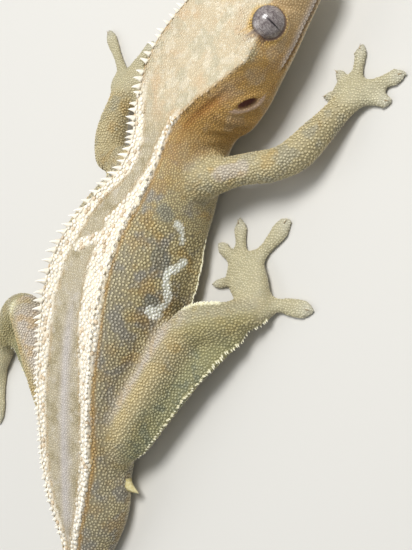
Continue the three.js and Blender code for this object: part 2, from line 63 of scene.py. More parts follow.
# %% The camera
IMAGE_WIDTH, IMAGE_HEIGHT = 412, 550
ELEVATION = math.radians(46)
ROLL = math.radians(9)
DISTANCE = 235 * MM
PIXELS_PER_MM = 5.3
# The point that the camera looks at, from the floor under the middle of the animal.
LOOK_AT = Vector((22.1, 44.2, 6.0)) * MM
SENSOR = 36


def view_axes():
    """The camera's right, up and backward directions."""
    backward = Vector((math.cos(ELEVATION), 0, math.sin(ELEVATION)))
    up = Vector((0, 1, 0))
    right = up.cross(backward)
    rolled_up = up * math.cos(ROLL) - right * math.sin(ROLL)
    rolled_right = right * math.cos(ROLL) + up * math.sin(ROLL)
    return rolled_right, rolled_up, backward


def add_camera():
    """The camera of the photograph's view."""
    right, up, backward = view_axes()
    data = bpy.data.cameras.new("camera")
    camera = bpy.data.objects.new("camera", data)
    bpy.context.scene.collection.objects.link(camera)
    turn = Matrix((right, up, backward)).transposed().to_4x4()
    camera.matrix_world = Matrix.Translation(LOOK_AT + backward * DISTANCE) @ turn
    data.sensor_width = SENSOR
    data.lens = PIXELS_PER_MM * DISTANCE / MM * SENSOR / IMAGE_HEIGHT
    data.clip_start = 10 * MM
    bpy.context.scene.camera = camera
    return camera


camera = add_camera()
print("lens", round(camera.data.lens, 1), "mm")

# %% [markdown]
# Every material here is made of nodes. One small function adds a node with its settings and links, so
# that each recipe reads as a list of steps. Colours are written as the hex values that a paint chart
# would give, and one function turns them to the linear values that the renderer needs.


# %% Helpers for materials
def linear(code):
    """The linear colour of an sRGB hex value, by the sRGB curve, with nothing see-through."""
    channels = [int(code[i : i + 2], 16) / 255 for i in (0, 2, 4)]
    return (*(c / 12.92 if c <= 0.04045 else ((c + 0.055) / 1.055) ** 2.4 for c in channels), 1.0)


def add_node(tree, kind, settings=None, **inputs):
    """Adds a node. settings are its properties, and inputs its sockets: a value or another node's socket."""
    node = tree.nodes.new(kind)
    for name, value in (settings or {}).items():
        setattr(node, name, value)
    for name, value in inputs.items():
        key = int(name[1:]) if name[0] == "_" else name.replace("_", " ")
        socket = node.inputs[key]
        if isinstance(value, bpy.types.NodeSocket):
            tree.links.new(value, socket)
        else:
            socket.default_value = value
    return node


def new_material(name):
    """An empty material with its output, and the node tree to fill."""
    material = bpy.data.materials.new(name)
    material.use_nodes = True
    material.node_tree.nodes.clear()
    return material, material.node_tree


def object_place(tree):
    """The place on the object itself, so that a pattern stays on it."""
    return add_node(tree, "ShaderNodeTexCoord").outputs["Object"]


def noise(tree, place, size_mm, detail, roughness=0.5):
    """Noise whose lumps are about size_mm across, from 0 to 1."""
    settings = {"Scale": 1 / (size_mm * MM), "Detail": detail, "Roughness": roughness}
    return add_node(tree, "ShaderNodeTexNoise", Vector=place, **settings).outputs["Fac"]


def remap(tree, value, low, high, to_low=0.0, to_high=1.0):
    """Stretches a value from one range to another, clamped and eased."""
    settings = {"From_Min": low, "From_Max": high, "To_Min": to_low, "To_Max": to_high}
    node = add_node(tree, "ShaderNodeMapRange", {"interpolation_type": "SMOOTHSTEP"}, Value=value, **settings)
    return node.outputs["Result"]


def calculate(tree, operation, *values):
    """A sum, a product or the like of values and sockets."""
    inputs = {f"_{i}": value for i, value in enumerate(values)}
    return add_node(tree, "ShaderNodeMath", {"operation": operation}, **inputs).outputs[0]


def surface(tree, colour, **settings):
    """Ends a material's tree in one principled shader."""
    shader = add_node(tree, "ShaderNodeBsdfPrincipled", Base_Color=colour, **settings)
    add_node(tree, "ShaderNodeOutputMaterial", Surface=shader.outputs[0])


def mix(tree, amount, below, above, how="MIX"):
    """Lays one colour over another by an amount from 0 to 1."""
    settings = {"data_type": "RGBA", "blend_type": how}
    return add_node(tree, "ShaderNodeMix", settings, _0=amount, _6=below, _7=above).outputs[2]


def marking(tree, name):
    """A marking that is stored on the mesh, from 0 to 1."""
    return add_node(tree, "ShaderNodeAttribute", {"attribute_name": name}).outputs["Fac"]


# %% [markdown]
# The animal stands on a plain pale floor in soft studio light. A large lamp above and behind the camera
# gives the form, a smaller one on the far side lifts the shadows, and a pale world fills the rest.

# %% Floor and light
FLOOR_SIZE = 3.0
WORLD_STRENGTH = 0.36
# Each lamp: where it hangs, what it points at, its size and its power.
LAMPS = {
    "key": ((0.10, 0.30, 0.55), (0.01, 0.04, 0), 0.26, 3.5),
    "fill": ((-0.45, -0.10, 0.35), (0, 0.04, 0), 0.40, 1.0),
}


def add_floor():
    """A plain pale board that the animal stands on."""
    bpy.ops.mesh.primitive_plane_add(size=FLOOR_SIZE, location=(0, 0, 0))
    floor = bpy.context.object
    floor.name = "floor"
    material, tree = new_material("pale_matte_board")
    surface(tree, linear("D9D6CF"), Roughness=0.85)
    floor.data.materials.append(material)


def add_lamp(name, place, aim, size, power):
    """A square soft lamp that points at a place."""
    data = bpy.data.lights.new(name, "AREA")
    data.size = size
    data.energy = power
    lamp = bpy.data.objects.new(name, data)
    bpy.context.scene.collection.objects.link(lamp)
    lamp.location = place
    lamp.rotation_euler = (Vector(aim) - Vector(place)).to_track_quat("-Z", "Y").to_euler()


def add_world():
    """A pale sky that fills the shadows."""
    world = bpy.data.worlds.new("studio")
    world.use_nodes = True
    background = world.node_tree.nodes["Background"]
    background.inputs["Color"].default_value = linear("E6ECF2")
    background.inputs["Strength"].default_value = WORLD_STRENGTH
    bpy.context.scene.world = world


bpy.ops.object.select_all(action="DESELECT")
add_floor()
add_world()
for name, facts in LAMPS.items():
    add_lamp(name, *facts)
bpy.context.scene.view_settings.view_transform = "Standard"
print("lamps", *LAMPS)

# %% [markdown]
# The body's line is where the crests, the folds and the markings are measured from. It runs along the
# middle of the back from the snout to the root of the tail. Each station holds its place on the floor
# plan, the half distance between the two crests and the height of their tops, in millimetres from the
# frame's origin. The eyes of the frame fix the head's own directions.

# %% The body's line
SHIFT = Vector((2.12, 44.23, 0.0))
# Each station: x, y, half the distance between the crests, the height of their tops, half the body's width.
BACK = np.array([
    [37.6, 59.5, 1.3, 11.2, 2.3],
    [34.5, 56.3, 3.1, 13.6, 5.9],
    [31.6, 52.9, 3.4, 15.1, 7.2],
    [28.9, 49.9, 4.5, 16.5, 8.8],
    [27.7, 48.5, 5.6, 16.9, 9.4],
    [26.2, 46.9, 9.2, 17.2, 10.4],
    [23.0, 43.8, 9.7, 17.4, 12.0],
    [19.4, 40.3, 9.1, 17.7, 13.6],
    [16.1, 37.3, 8.4, 17.8, 14.0],
    [13.2, 34.0, 7.5, 17.4, 13.0],
    [10.9, 29.8, 5.8, 16.8, 11.6],
    [9.4, 25.0, 4.5, 16.2, 10.8],
    [7.9, 20.2, 4.5, 16.2, 11.1],
    [5.7, 15.2, 5.0, 16.7, 12.4],
    [2.2, 9.0, 6.0, 17.7, 14.6],
    [-0.7, 1.1, 7.0, 18.5, 16.0],
    [-2.4, -7.0, 7.2, 18.5, 15.7],
    [-3.3, -15.5, 7.0, 17.6, 14.2],
    [-3.5, -25.5, 6.6, 16.0, 11.4],
    [-3.4, -35.0, 6.3, 14.2, 9.4],
    [-3.1, -43.0, 5.6, 12.6, 8.4],
    [-2.9, -49.0, 4.2, 11.2, 8.8],
    [-2.9, -54.5, 2.4, 9.8, 7.1],
    [-3.2, -59.5, 1.2, 8.2, 4.9],
    [-3.9, -64.0, 0.7, 7.0, 3.7],
])


def dense_line(rows, step=0.5):
    """The rows joined by a smooth curve, read every step, with the distance run as a first column."""
    run = np.concatenate([[0], np.cumsum(np.hypot(*np.diff(rows[:, :2], axis=0).T))])
    slopes = np.gradient(rows, run, axis=0)
    at = np.arange(0, run[-1], step)
    k = np.clip(np.searchsorted(run, at, side="right") - 1, 0, len(run) - 2)
    width = (run[k + 1] - run[k])[:, None]
    t = ((at - run[k]) / (run[k + 1] - run[k]))[:, None]
    near = (2 * t**3 - 3 * t**2 + 1) * rows[k] + (t**3 - 2 * t**2 + t) * width * slopes[k]
    far = (-2 * t**3 + 3 * t**2) * rows[k + 1] + (t**3 - t**2) * width * slopes[k + 1]
    return np.column_stack([at, near + far])


back = BACK.copy()
back[:, :2] += np.array(SHIFT[:2])
LINE = dense_line(back)
LINE_DISTANCE, LINE_XY = LINE[:, 0], LINE[:, 1:3]
LINE_CREST, LINE_TOP, LINE_WIDE = LINE[:, 3], LINE[:, 4], LINE[:, 5]
LINE_AHEAD = -np.gradient(LINE_XY, axis=0)
LINE_AHEAD /= np.linalg.norm(LINE_AHEAD, axis=1)[:, None]
LINE_RIGHT = np.column_stack([LINE_AHEAD[:, 1], -LINE_AHEAD[:, 0]])

# The trunk is rolled a little towards the camera, so the left crest stands further out than the right one
# behind the shoulder, and closer in over the neck: the distance from the snout, and how much further out.
LEFT_RUN = [44, 50, 56, 62, 68, 74, 80, 92, 98, 104, 110, 122, 128, 134]
LEFT_SHIFT = [0.0, -1.4, -2.2, -1.0, 0.0, 1.2, 1.6, 1.6, 2.0, 2.0, 1.6, 1.3, 0.5, 0.0]


def crest_half(step, aside):
    """The half distance between the crests on the side that aside gives."""
    return LINE_CREST[step] + np.where(aside < 0, np.interp(LINE_DISTANCE[step], LEFT_RUN, LEFT_SHIFT), 0)


BLOCK = 20000


def body_place(points_mm):
    """For points in millimetres: the nearest step of the body's line and the sideways offset from it."""
    nearest = np.empty(len(points_mm), int)
    for start in range(0, len(points_mm), BLOCK):
        block = points_mm[start : start + BLOCK, None, :2] - LINE_XY[None]
        nearest[start : start + BLOCK] = np.einsum("ijk,ijk->ij", block, block).argmin(axis=1)
    sideways = np.einsum("ij,ij->i", points_mm[:, :2] - LINE_XY[nearest], LINE_RIGHT[nearest])
    return nearest, sideways


eye_centres = {side: sum(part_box("eye_" + side), Vector()) / 2 for side in ("right", "left")}
eyes_mm = {side: [round(v / MM, 1) for v in centre] for side, centre in eye_centres.items()}
print("body line", len(LINE), "steps, eyes at", eyes_mm)

# %% [markdown]
# The skin is one closed surface from snout to tail. The solids are parted by thin cuts and have flat
# faces, so copies of them are swelled until the cuts close, remeshed into one even surface, shrunk back
# and smoothed. Voxel remeshing is chosen over a Boolean union because it gives even quads, which
# sculpting needs.

# %% Join and remesh the flesh
SWELL = 0.24 * MM
VOXEL = 0.6 * MM
WELD_GAP = 0.02 * MM


def copy_of(name):
    """A copy of one of the frame's solids, because the solids themselves stay as they are."""
    source = nodes[name]
    made = bpy.data.objects.new("copy_" + name, source.data.copy())
    bpy.context.scene.collection.objects.link(made)
    return made


def select_only(*objects):
    bpy.ops.object.select_all(action="DESELECT")
    for o in objects:
        o.select_set(True)
    bpy.context.view_layer.objects.active = objects[0]


def apply_modifier(obj, kind, **settings):
    """Adds a modifier with its settings and applies it at once."""
    modifier = obj.modifiers.new(kind.lower(), kind)
    for name, value in settings.items():
        setattr(modifier, name, value)
    select_only(obj)
    bpy.ops.object.modifier_apply(modifier=modifier.name)


def weld(obj, gap):
    """Joins the vertices nearer than the gap, and turns every face outwards."""
    select_only(obj)
    bpy.ops.object.mode_set(mode="EDIT")
    bpy.ops.mesh.select_all(action="SELECT")
    bpy.ops.mesh.remove_doubles(threshold=gap)
    bpy.ops.mesh.normals_make_consistent(inside=False)
    bpy.ops.object.mode_set(mode="OBJECT")


# The head's own directions come from the two eyes. Each eye looks out of a wide opening: its half angle.
HEAD_RIGHT = (eye_centres["right"] - eye_centres["left"]).normalized()
HEAD_AHEAD = Vector((-HEAD_RIGHT.y, HEAD_RIGHT.x, 0))
EYE_RADIUS = 3.3
OPENING = math.radians(67)
LID_DEPTH = 0.6
# The middle of the opening: how far to its own side, up and ahead.
EYE_LOOK = (0.54, 0.80, 0.22)


def eye_axis(side):
    """The middle of the opening that the eye looks out of: outwards, up and a little ahead."""
    turn = 1 if side == "right" else -1
    aside, up, ahead = EYE_LOOK
    return (HEAD_RIGHT * turn * aside + Vector((0, 0, up)) + HEAD_AHEAD * ahead).normalized()


def add_lids(side):
    """A ball of flesh round the eye, cut open where the eye looks out, so that the skin closes round it."""
    centre, axis = eye_centres[side], eye_axis(side)
    radius = (EYE_RADIUS + LID_DEPTH) * MM
    bpy.ops.object.select_all(action="DESELECT")
    bpy.ops.mesh.primitive_uv_sphere_add(segments=48, ring_count=24, radius=radius, location=centre)
    lids = bpy.context.object
    bpy.ops.object.transform_apply(location=True)
    bpy.ops.object.mode_set(mode="EDIT")
    bpy.ops.mesh.select_all(action="SELECT")
    edge = centre + axis * radius * math.cos(OPENING)
    bpy.ops.mesh.bisect(plane_co=edge, plane_no=axis, use_fill=True, clear_outer=True)
    bpy.ops.object.mode_set(mode="OBJECT")
    return lids


copies = [copy_of(name) for name in FLESH]
for piece in copies:
    weld(piece, WELD_GAP)
    apply_modifier(piece, "DISPLACE", strength=SWELL, mid_level=0.0)
copies += [add_lids(side) for side in ("right", "left")]
select_only(*copies)
bpy.ops.object.join()
skin = bpy.context.object
skin.name = "skin"
apply_modifier(skin, "REMESH", mode="VOXEL", voxel_size=VOXEL, adaptivity=0.0)
print("skin", len(skin.data.vertices), "vertices", len(skin.data.polygons), "faces")

# %% [markdown]
# Raw voxels show steps, and the flat faces of the solids still show under them. Relaxing each vertex
# towards its neighbours takes both away. A plain relax would also thin the limbs, so the depth that it
# took is averaged over the surface and given back. The toes take a lighter relax than the trunk, because
# their own form is so small.

# %% Smooth the skin
def vertices_of(mesh):
    """The vertices as an array, in millimetres."""
    flat = np.empty(len(mesh.vertices) * 3, np.float32)
    mesh.vertices.foreach_get("co", flat)
    return flat.reshape(-1, 3).astype(float) / MM


def normals_of(mesh):
    flat = np.empty(len(mesh.vertices) * 3, np.float32)
    mesh.vertices.foreach_get("normal", flat)
    return flat.reshape(-1, 3).astype(float)


def set_vertices(mesh, points_mm):
    mesh.vertices.foreach_set("co", (points_mm * MM).astype(np.float32).ravel())
    mesh.update()


def edges_of(mesh):
    flat = np.empty(len(mesh.edges) * 2, np.int32)
    mesh.edges.foreach_get("vertices", flat)
    return flat.reshape(-1, 2)


def relax(values, edges, steps, amount=0.5):
    """Each step moves every vertex's value part of the way to its neighbours' average."""
    count = len(values)
    ends = np.concatenate([edges[:, 0], edges[:, 1]])
    others = np.concatenate([edges[:, 1], edges[:, 0]])
    share = 1 / np.maximum(np.bincount(ends, minlength=count), 1)
    values = values.copy()
    for step in range(steps):
        columns = [np.bincount(ends, values[others, a], count) * share for a in range(values.shape[1])]
        values += amount * (np.column_stack(columns) - values)
    return values


def soften(mesh, steps, amount):
    """Relaxes the mesh, then gives back the depth that relaxing took from round forms."""
    points = vertices_of(mesh)
    edges = edges_of(mesh)
    relaxed = relax(points, edges, steps, amount)
    set_vertices(mesh, relaxed)
    outward = normals_of(mesh)
    lost = ((points - relaxed) * outward).sum(axis=1, keepdims=True)
    set_vertices(mesh, relaxed + outward * relax(lost, edges, steps))


def solid_tree(names):
    """A search tree over some of the frame's solids."""
    corners, faces, start = [], [], 0
    for name in names:
        mesh = nodes[name].data
        corners.extend(v.co for v in mesh.vertices)
        faces.extend([start + i for i in p.vertices] for p in mesh.polygons)
        start = len(corners)
    return BVHTree.FromPolygons(corners, faces)


def both(*names):
    return [name + side for name in names for side in ("_right", "_left")]


REGIONS = {
    "head": ["head", "lower_jaw"],
    "trunk": ["neck", "chest", "abdomen", "pelvis"],
    "tail": ["tail_root", "tail_middle", "tail_end"],
    "arm": both("upper_arm", "forearm"),
    "leg": both("thigh", "shin"),
    "hand": both("hand"),
    "foot": both("foot"),
}
REGION_BLEND = 0.8
RELAX_STEPS = 36
RELAX_BODY, RELAX_TOES = 0.5, 0.08


def region_weights(points_mm):
    """How much each point belongs to each region, blended over a short distance."""
    trees = {region: solid_tree(names) for region, names in REGIONS.items()}
    far = 1.0
    gaps = []
    for tree in trees.values():
        found = [tree.find_nearest(Vector(p) * MM)[3] for p in points_mm]
        gaps.append(np.array([far if g is None else g for g in found]) / MM)
    gaps = np.array(gaps)
    closeness = np.exp(-(gaps - gaps.min(axis=0)) / REGION_BLEND)
    closeness /= closeness.sum(axis=0)
    return dict(zip(trees, closeness))


points = vertices_of(skin.data)
belongs = region_weights(points)
looseness = RELAX_BODY - (RELAX_BODY - RELAX_TOES) * (belongs["hand"] + belongs["foot"])[:, None]
soften(skin.data, RELAX_STEPS, looseness)
print("skin", len(points), "vertices, smoothed")

# %% [markdown]
# Every vertex is now placed on the body: how far it is from the snout, how far to the side of the middle
# of the back, and how it lies to the crests. On a limb it is placed along the bones and across them,
# towards the rear edge. Folds, markings and scales all read these places, so they stay in step with one
# another.

# %% The limbs' lines
# Each limb: shoulder or hip, elbow or knee, wrist or ankle. Each toe: its root, its tip and its half width.
LIMBS = {
    "arm_right": {
        "bones": [(10.0, 15.4, 8.6), (33.6, 21.7, 6.4), (43.4, 33.6, 2.4)],
        "toes": [
            (41.8, 35.6, 37.2, 35.4, 1.2),
            (42.4, 37.8, 39.2, 40.2, 1.3),
            (44.2, 38.6, 44.0, 45.0, 1.55),
            (46.8, 37.2, 54.4, 39.8, 1.7),
            (46.8, 35.0, 52.4, 34.8, 1.5),
        ],
    },
    "arm_left": {
        "bones": [(4.0, 18.4, 8.4), (-12.4, 20.8, 6.4), (-16.2, 34.6, 2.4)],
        "toes": [
            (-14.2, 36.0, -10.2, 31.6, 1.2),
            (-13.6, 37.6, -6.8, 35.8, 1.3),
            (-13.8, 39.4, -6.4, 40.8, 1.6),
            (-15.2, 41.0, -10.4, 46.4, 1.75),
            (-18.8, 40.2, -26.0, 49.2, 1.6),
        ],
    },
    "leg_right": {
        "bones": [(2.4, -38.2, 5.6), (18.0, -11.0, 7.0), (31.6, -5.4, 2.8)],
        "toes": [
            (24.0, -0.2, 16.8, -1.6, 1.2),
            (23.0, 2.6, 16.6, 6.6, 1.6),
            (23.6, 4.4, 21.2, 11.6, 1.8),
            (26.8, 3.4, 33.6, 12.6, 2.1),
            (30.0, -3.4, 42.4, -3.4, 2.05),
        ],
    },
    "leg_left": {
        "bones": [(-7.6, -37.6, 5.8), (-28.8, -13.2, 8.8), (-41.8, -21.8, 2.9)],
        "toes": [
            (-47.4, -24.6, -50.4, -17.6, 1.2),
            (-49.8, -26.0, -56.0, -21.2, 1.6),
            (-50.8, -28.4, -58.6, -28.8, 1.8),
            (-48.6, -30.8, -54.4, -40.6, 2.1),
            (-43.8, -28.6, -42.6, -40.8, 2.05),
        ],
    },
}


def ramp(value, low, high):
    """Eased from 0 at low to 1 at high."""
    t = np.clip((value - low) / (high - low), 0, 1)
    return t * t * (3 - 2 * t)


def within(value, start, full, fade, gone):
    """Eased from 0 at start to 1 at full, and from 1 at fade back to 0 at gone."""
    return ramp(value, start, full) * (1 - ramp(value, fade, gone))


def bump(value, width):
    """1 at zero, falling away over the width."""
    return np.exp(-((value / width) ** 2))


def unit(vectors):
    return vectors / np.maximum(np.linalg.norm(vectors, axis=-1, keepdims=True), 1e-9)


def limb_place(points_mm, name):
    """The distance run along a limb's bones, the offset towards its rear edge, and the bones' direction."""
    bones = np.array(LIMBS[name]["bones"]) + np.array(SHIFT)
    rear_turn = 1 if name.endswith("right") else -1
    best = np.full(len(points_mm), np.inf)
    along, across = np.zeros(len(points_mm)), np.zeros(len(points_mm))
    heading = np.zeros((len(points_mm), 3))
    run = 0.0
    for start, end in zip(bones[:-1], bones[1:]):
        length = np.linalg.norm(end - start)
        ahead = (end - start) / length
        rear = unit(np.array([ahead[1], -ahead[0], 0]) * rear_turn)
        offset = points_mm - start
        t = offset @ ahead
        gap = np.linalg.norm(offset - np.clip(t, 0, length)[:, None] * ahead, axis=1)
        nearer = gap < best
        best[nearer] = gap[nearer]
        along[nearer] = run + t[nearer]
        across[nearer] = (offset @ rear)[nearer]
        heading[nearer] = ahead
        run += length
    return best, along, across, heading


def limb_fields(points_mm):
    """The places along and across whichever limb is nearest to each point."""
    best = np.full(len(points_mm), np.inf)
    fields = [np.zeros(len(points_mm)), np.zeros(len(points_mm)), np.zeros((len(points_mm), 3))]
    for name in LIMBS:
        gap, *found = limb_place(points_mm, name)
        nearer = gap < best
        best[nearer] = gap[nearer]
        for field, values in zip(fields, found):
            field[nearer] = values[nearer]
    return fields


# %% The head's own directions
eye_middle = (eye_centres["right"] + eye_centres["left"]) / 2 / MM
EYE_FROM_SNOUT = 13.5
SNOUT_TIP = eye_middle + HEAD_AHEAD * EYE_FROM_SNOUT


def eye_fields(points_mm):
    """For the nearer eye: the distance from its centre, the way to each point, and the angle off its axis."""
    best = np.full(len(points_mm), np.inf)
    ways, angles = np.zeros((len(points_mm), 3)), np.zeros(len(points_mm))
    for side, centre in eye_centres.items():
        offset = points_mm - np.array(centre) / MM
        gap = np.linalg.norm(offset, axis=1)
        nearer = gap < best
        best[nearer] = gap[nearer]
        ways[nearer] = (offset / gap[:, None])[nearer]
        angles[nearer] = np.arccos(np.clip(ways[nearer] @ np.array(eye_axis(side)), -1, 1))
    return best, ways, angles


def head_place(points_mm):
    """The distance behind the snout tip and the offset to the head's right, in millimetres."""
    offset = points_mm[:, :2] - np.array(SNOUT_TIP[:2])
    return -offset @ np.array(HEAD_AHEAD[:2]), offset @ np.array(HEAD_RIGHT[:2])


print("snout tip", [round(v, 1) for v in SNOUT_TIP], "head looks along", [round(v, 2) for v in HEAD_AHEAD])

# %% [markdown]
# The face gets one more subdivision, because the line of the mouth, the nostrils and the rims of the eyes
# are finer than the voxels of the rest. Subdividing only there keeps the whole skin light.

# %% Finer faces on the head
FACE_LENGTH, FACE_HALF_WIDTH = 30.0, 16.0
FACE_LOW, FACE_HIGH = 3.0, 17.0


def refine_face():
    count = len(skin.data.polygons)
    centres = np.empty(count * 3, np.float32)
    skin.data.polygons.foreach_get("center", centres)
    centres = centres.reshape(-1, 3) / MM
    behind, aside = head_place(centres)
    wanted = (behind < FACE_LENGTH) & (np.abs(aside) < FACE_HALF_WIDTH)
    wanted &= (centres[:, 2] > FACE_LOW) & (centres[:, 2] < FACE_HIGH)
    select_only(skin)
    bpy.ops.object.mode_set(mode="EDIT")
    bpy.ops.mesh.select_mode(type="FACE")
    bpy.ops.mesh.select_all(action="DESELECT")
    bpy.ops.object.mode_set(mode="OBJECT")
    skin.data.polygons.foreach_set("select", wanted)
    bpy.ops.object.mode_set(mode="EDIT")
    bpy.ops.mesh.subdivide(number_cuts=1, smoothness=0.0)
    bpy.ops.object.mode_set(mode="OBJECT")
    return int(wanted.sum())


refined = refine_face()
triangles = sum(len(p.vertices) - 2 for p in skin.data.polygons)
print("face refined from", refined, "faces; the skin has", triangles, "triangles")

# %% [markdown]
# With every vertex placed, the form that the solids leave out is pushed into the skin, as a sculptor
# would with a small tool: the ridge under each crest, the groove below the edge of the crown, the hollow
# of the back, the line of the mouth and its lips, the rims round the eyes, the nostrils, the ears and the
# loose folds behind them.

# %% Places on the skin
def places(points_mm, normals):
    """Every field that the folds, the markings and the scales read."""
    f = {}
    nearest, f["aside"] = body_place(points_mm)
    f["run"] = LINE_DISTANCE[nearest]
    f["crest_gap"] = crest_half(nearest, f["aside"]) - np.abs(f["aside"])
    f["below_crest"] = LINE_TOP[nearest] - points_mm[:, 2]
    f["to_crest"] = np.hypot(f["crest_gap"], f["below_crest"])
    f["ahead"] = np.column_stack([LINE_AHEAD[nearest], np.zeros(len(points_mm))])
    f["behind"], f["head_aside"] = head_place(points_mm)
    f["height"] = points_mm[:, 2]
    f["up"] = normals[:, 2]
    f["along"], f["across"], f["heading"] = limb_fields(points_mm)
    return f


MOUTH_LENGTH, MOUTH_START_HEIGHT = 19.5, 8.1
MOUTH_SAG, MOUTH_RISE = 0.5, 0.01
# The ear is a slanted slit, higher behind: its middle, its half length and half height, and its slant.
EAR = (27.0, 11.3)
EAR_HALF = (1.9, 0.95)
EAR_SLANT = math.radians(35)
# The nostrils: how far behind the snout tip, their height and their radius.
NOSTRIL_BEHIND, NOSTRIL_HEIGHT, NOSTRIL_RADIUS = 1.7, 9.9, 0.5


def ear_place(behind, height):
    """How far a place is from the middle of the ear, where 1 is the slit's edge."""
    back_part, up_part = behind - EAR[0], height - EAR[1]
    along = back_part * math.cos(EAR_SLANT) + up_part * math.sin(EAR_SLANT)
    across = up_part * math.cos(EAR_SLANT) - back_part * math.sin(EAR_SLANT)
    return np.hypot(along / EAR_HALF[0], across / EAR_HALF[1]), across


def nostril_share(points_mm, behind, head_aside):
    """1 in the middle of a nostril, falling away round it."""
    gap = np.hypot(behind - NOSTRIL_BEHIND, points_mm[:, 2] - NOSTRIL_HEIGHT)
    return bump(gap, NOSTRIL_RADIUS) * ramp(np.abs(head_aside), 0.5, 1.2)


def mouth_height(behind):
    """The height of the line of the mouth at a distance behind the snout tip."""
    t = np.clip(behind / MOUTH_LENGTH, 0, 1)
    return MOUTH_START_HEIGHT - MOUTH_SAG * np.sin(math.pi * t) + MOUTH_RISE * behind


# %% Push the folds into the skin
COAT_DEPTH = 0.12
# The height of the loose fold that runs along the flank from arm to leg.
FOLD_HEIGHT = 2.9


# Each form: how far it stands out, or sinks in where negative, how far its middle is from the place that its
# distance is measured from, and its width.
FORMS = {
    "crest": (0.5, 0.0, 0.8),
    "overhang": (-0.9, -1.5, 0.9),
    "ridge of the back": (0.22, 0.0, 0.8),
    "upper lip": (0.22, 0.85, 0.55),
    "lower lip": (0.14, -0.85, 0.6),
    "mouth": (-0.45, 0.0, 0.28),
    "rim of the ear": (0.3, 1.5, 0.45),
    "edge of the flank": (0.55, FOLD_HEIGHT, 0.8),
    "hollow of the flank": (-0.25, FOLD_HEIGHT + 2.2, 1.0),
    "hollow of the thigh": (-0.3, -3.6, 1.6),
}
EAR_DEPTH, NOSTRIL_DEPTH = 0.7, 0.5
NECK_FOLD_DEPTH, NECK_FOLD_SPACING = 0.2, 3.1
# Stretches of the body by the distance from the snout: where each starts, is full, fades and is gone.
STRETCHES = {
    "crest": (14, 20, 126, 134),
    "crown rim": (18, 24, 42, 50),
    "overhang": (23, 30, 46, 54),
    "groove_orange_and_shade": (23, 30, 47, 56),
    "bands": (36, 42, 138, 146),
    "flank": (56, 62, 90, 98),
    "below the bands": (58, 68, 128, 142),
    "line of the back": (74, 92, 122, 132),
    "ridge of the back": (84, 96, 124, 132),
}
NECK_STRETCH = (29, 32, 44, 50)


def form(name, distance):
    """How far a form moves the skin at a distance."""
    depth, middle, width = FORMS[name]
    return depth * bump(distance - middle, width)


def stretch(name, run):
    """How far into a stretch of the body each place is, from 0 to 1."""
    return within(run, *STRETCHES[name])


def head_sides(f, belongs, steepest):
    """1 on the sides of the head, and 0 along its middle and where it faces up or down."""
    low, high = steepest
    return belongs["head"] * ramp(np.abs(f["head_aside"]), 0.2, 0.8) * (1 - ramp(np.abs(f["up"]), low, high))


def outer_head(f, belongs):
    """1 where the ears are, away from the middle of the head."""
    return belongs["head"] * ramp(np.abs(f["head_aside"]), 4, 6)


def push_folds(points_mm, f, belongs):
    """How far each vertex moves along its normal, in millimetres."""
    push = np.full(len(points_mm), -(SWELL / MM) - COAT_DEPTH)
    body = belongs["head"] + belongs["trunk"] + belongs["tail"]
    run, behind, height = f["run"], f["behind"], f["height"]
    push += form("crest", f["to_crest"]) * stretch("crest", run) * body
    beside = form("overhang", f["crest_gap"]) * within(f["below_crest"], 0.6, 2.0, 4, 6)
    push += beside * stretch("overhang", run) * body
    ridge = form("ridge of the back", f["aside"]) * stretch("ridge of the back", run)
    push += ridge * ramp(f["up"], 0.5, 0.8)
    along_mouth = within(behind, -1.5, 0.0, MOUTH_LENGTH - 1.5, MOUTH_LENGTH + 0.5)
    above = height - mouth_height(behind)
    lips = sum(form(name, above) for name in ("upper lip", "lower lip", "mouth"))
    push += head_sides(f, belongs, (0.75, 0.95)) * along_mouth * lips
    ear, _ = ear_place(behind, height)
    push += outer_head(f, belongs) * (form("rim of the ear", ear) - EAR_DEPTH * (1 - ramp(ear, 0.5, 1.1)))
    push -= NOSTRIL_DEPTH * belongs["head"] * nostril_share(points_mm, behind, f["head_aside"])
    neck = within(behind, *NECK_STRETCH) * within(f["up"], -0.5, -0.1, 0.5, 0.8)
    waves = np.sin(2 * math.pi * (behind - 0.25 * height) / NECK_FOLD_SPACING + 0.6 * np.sin(height * 0.9))
    push += NECK_FOLD_DEPTH * neck * waves * ramp(f["below_crest"], 3, 6) * body
    flank = belongs["trunk"] * stretch("flank", run) * ramp(np.abs(f["aside"]), 6, 9)
    ripple = 1 + 0.25 * np.sin(run * 2.4) + 0.2 * np.sin(run * 1.1)
    push += flank * (form("edge of the flank", height) * ripple + form("hollow of the flank", height))
    joint = np.clip(4 * belongs["leg"] * belongs["trunk"], 0, 1) * ramp(f["up"], -0.1, 0.2)
    return push + form("hollow of the thigh", f["across"]) * joint


# The hollow of the left shoulder: its depth, its distance from the snout, its length, and its place and half
# width outside the crest.
SHOULDER_DEPTH, SHOULDER_RUN, SHOULDER_LENGTH, SHOULDER_OUT, SHOULDER_HALF = 2.6, 62, 13, 3.4, 2.6


def roll_left_side(points_mm, body):
    """Moves the left crest to its place, and hollows the left shoulder below it."""
    nearest, aside = body_place(points_mm)
    run, crest, out = LINE_DISTANCE[nearest], LINE_CREST[nearest], np.abs(aside)
    amount = ramp(out / crest, 0.3, 0.9) * ramp(points_mm[:, 2], 5, 10) * (aside < 0) * body
    flank = ramp(out, crest + 1.0, crest + 4.0) * within(run, 68, 76, 92, 100)
    move = np.interp(run, LEFT_RUN, LEFT_SHIFT) * amount * (1 - flank)
    hollow = bump(run - SHOULDER_RUN, SHOULDER_LENGTH) * bump(out - crest - SHOULDER_OUT, SHOULDER_HALF)
    move -= SHOULDER_DEPTH * hollow * amount
    moved = points_mm.copy()
    moved[:, :2] -= LINE_RIGHT[nearest] * move[:, None]
    return moved


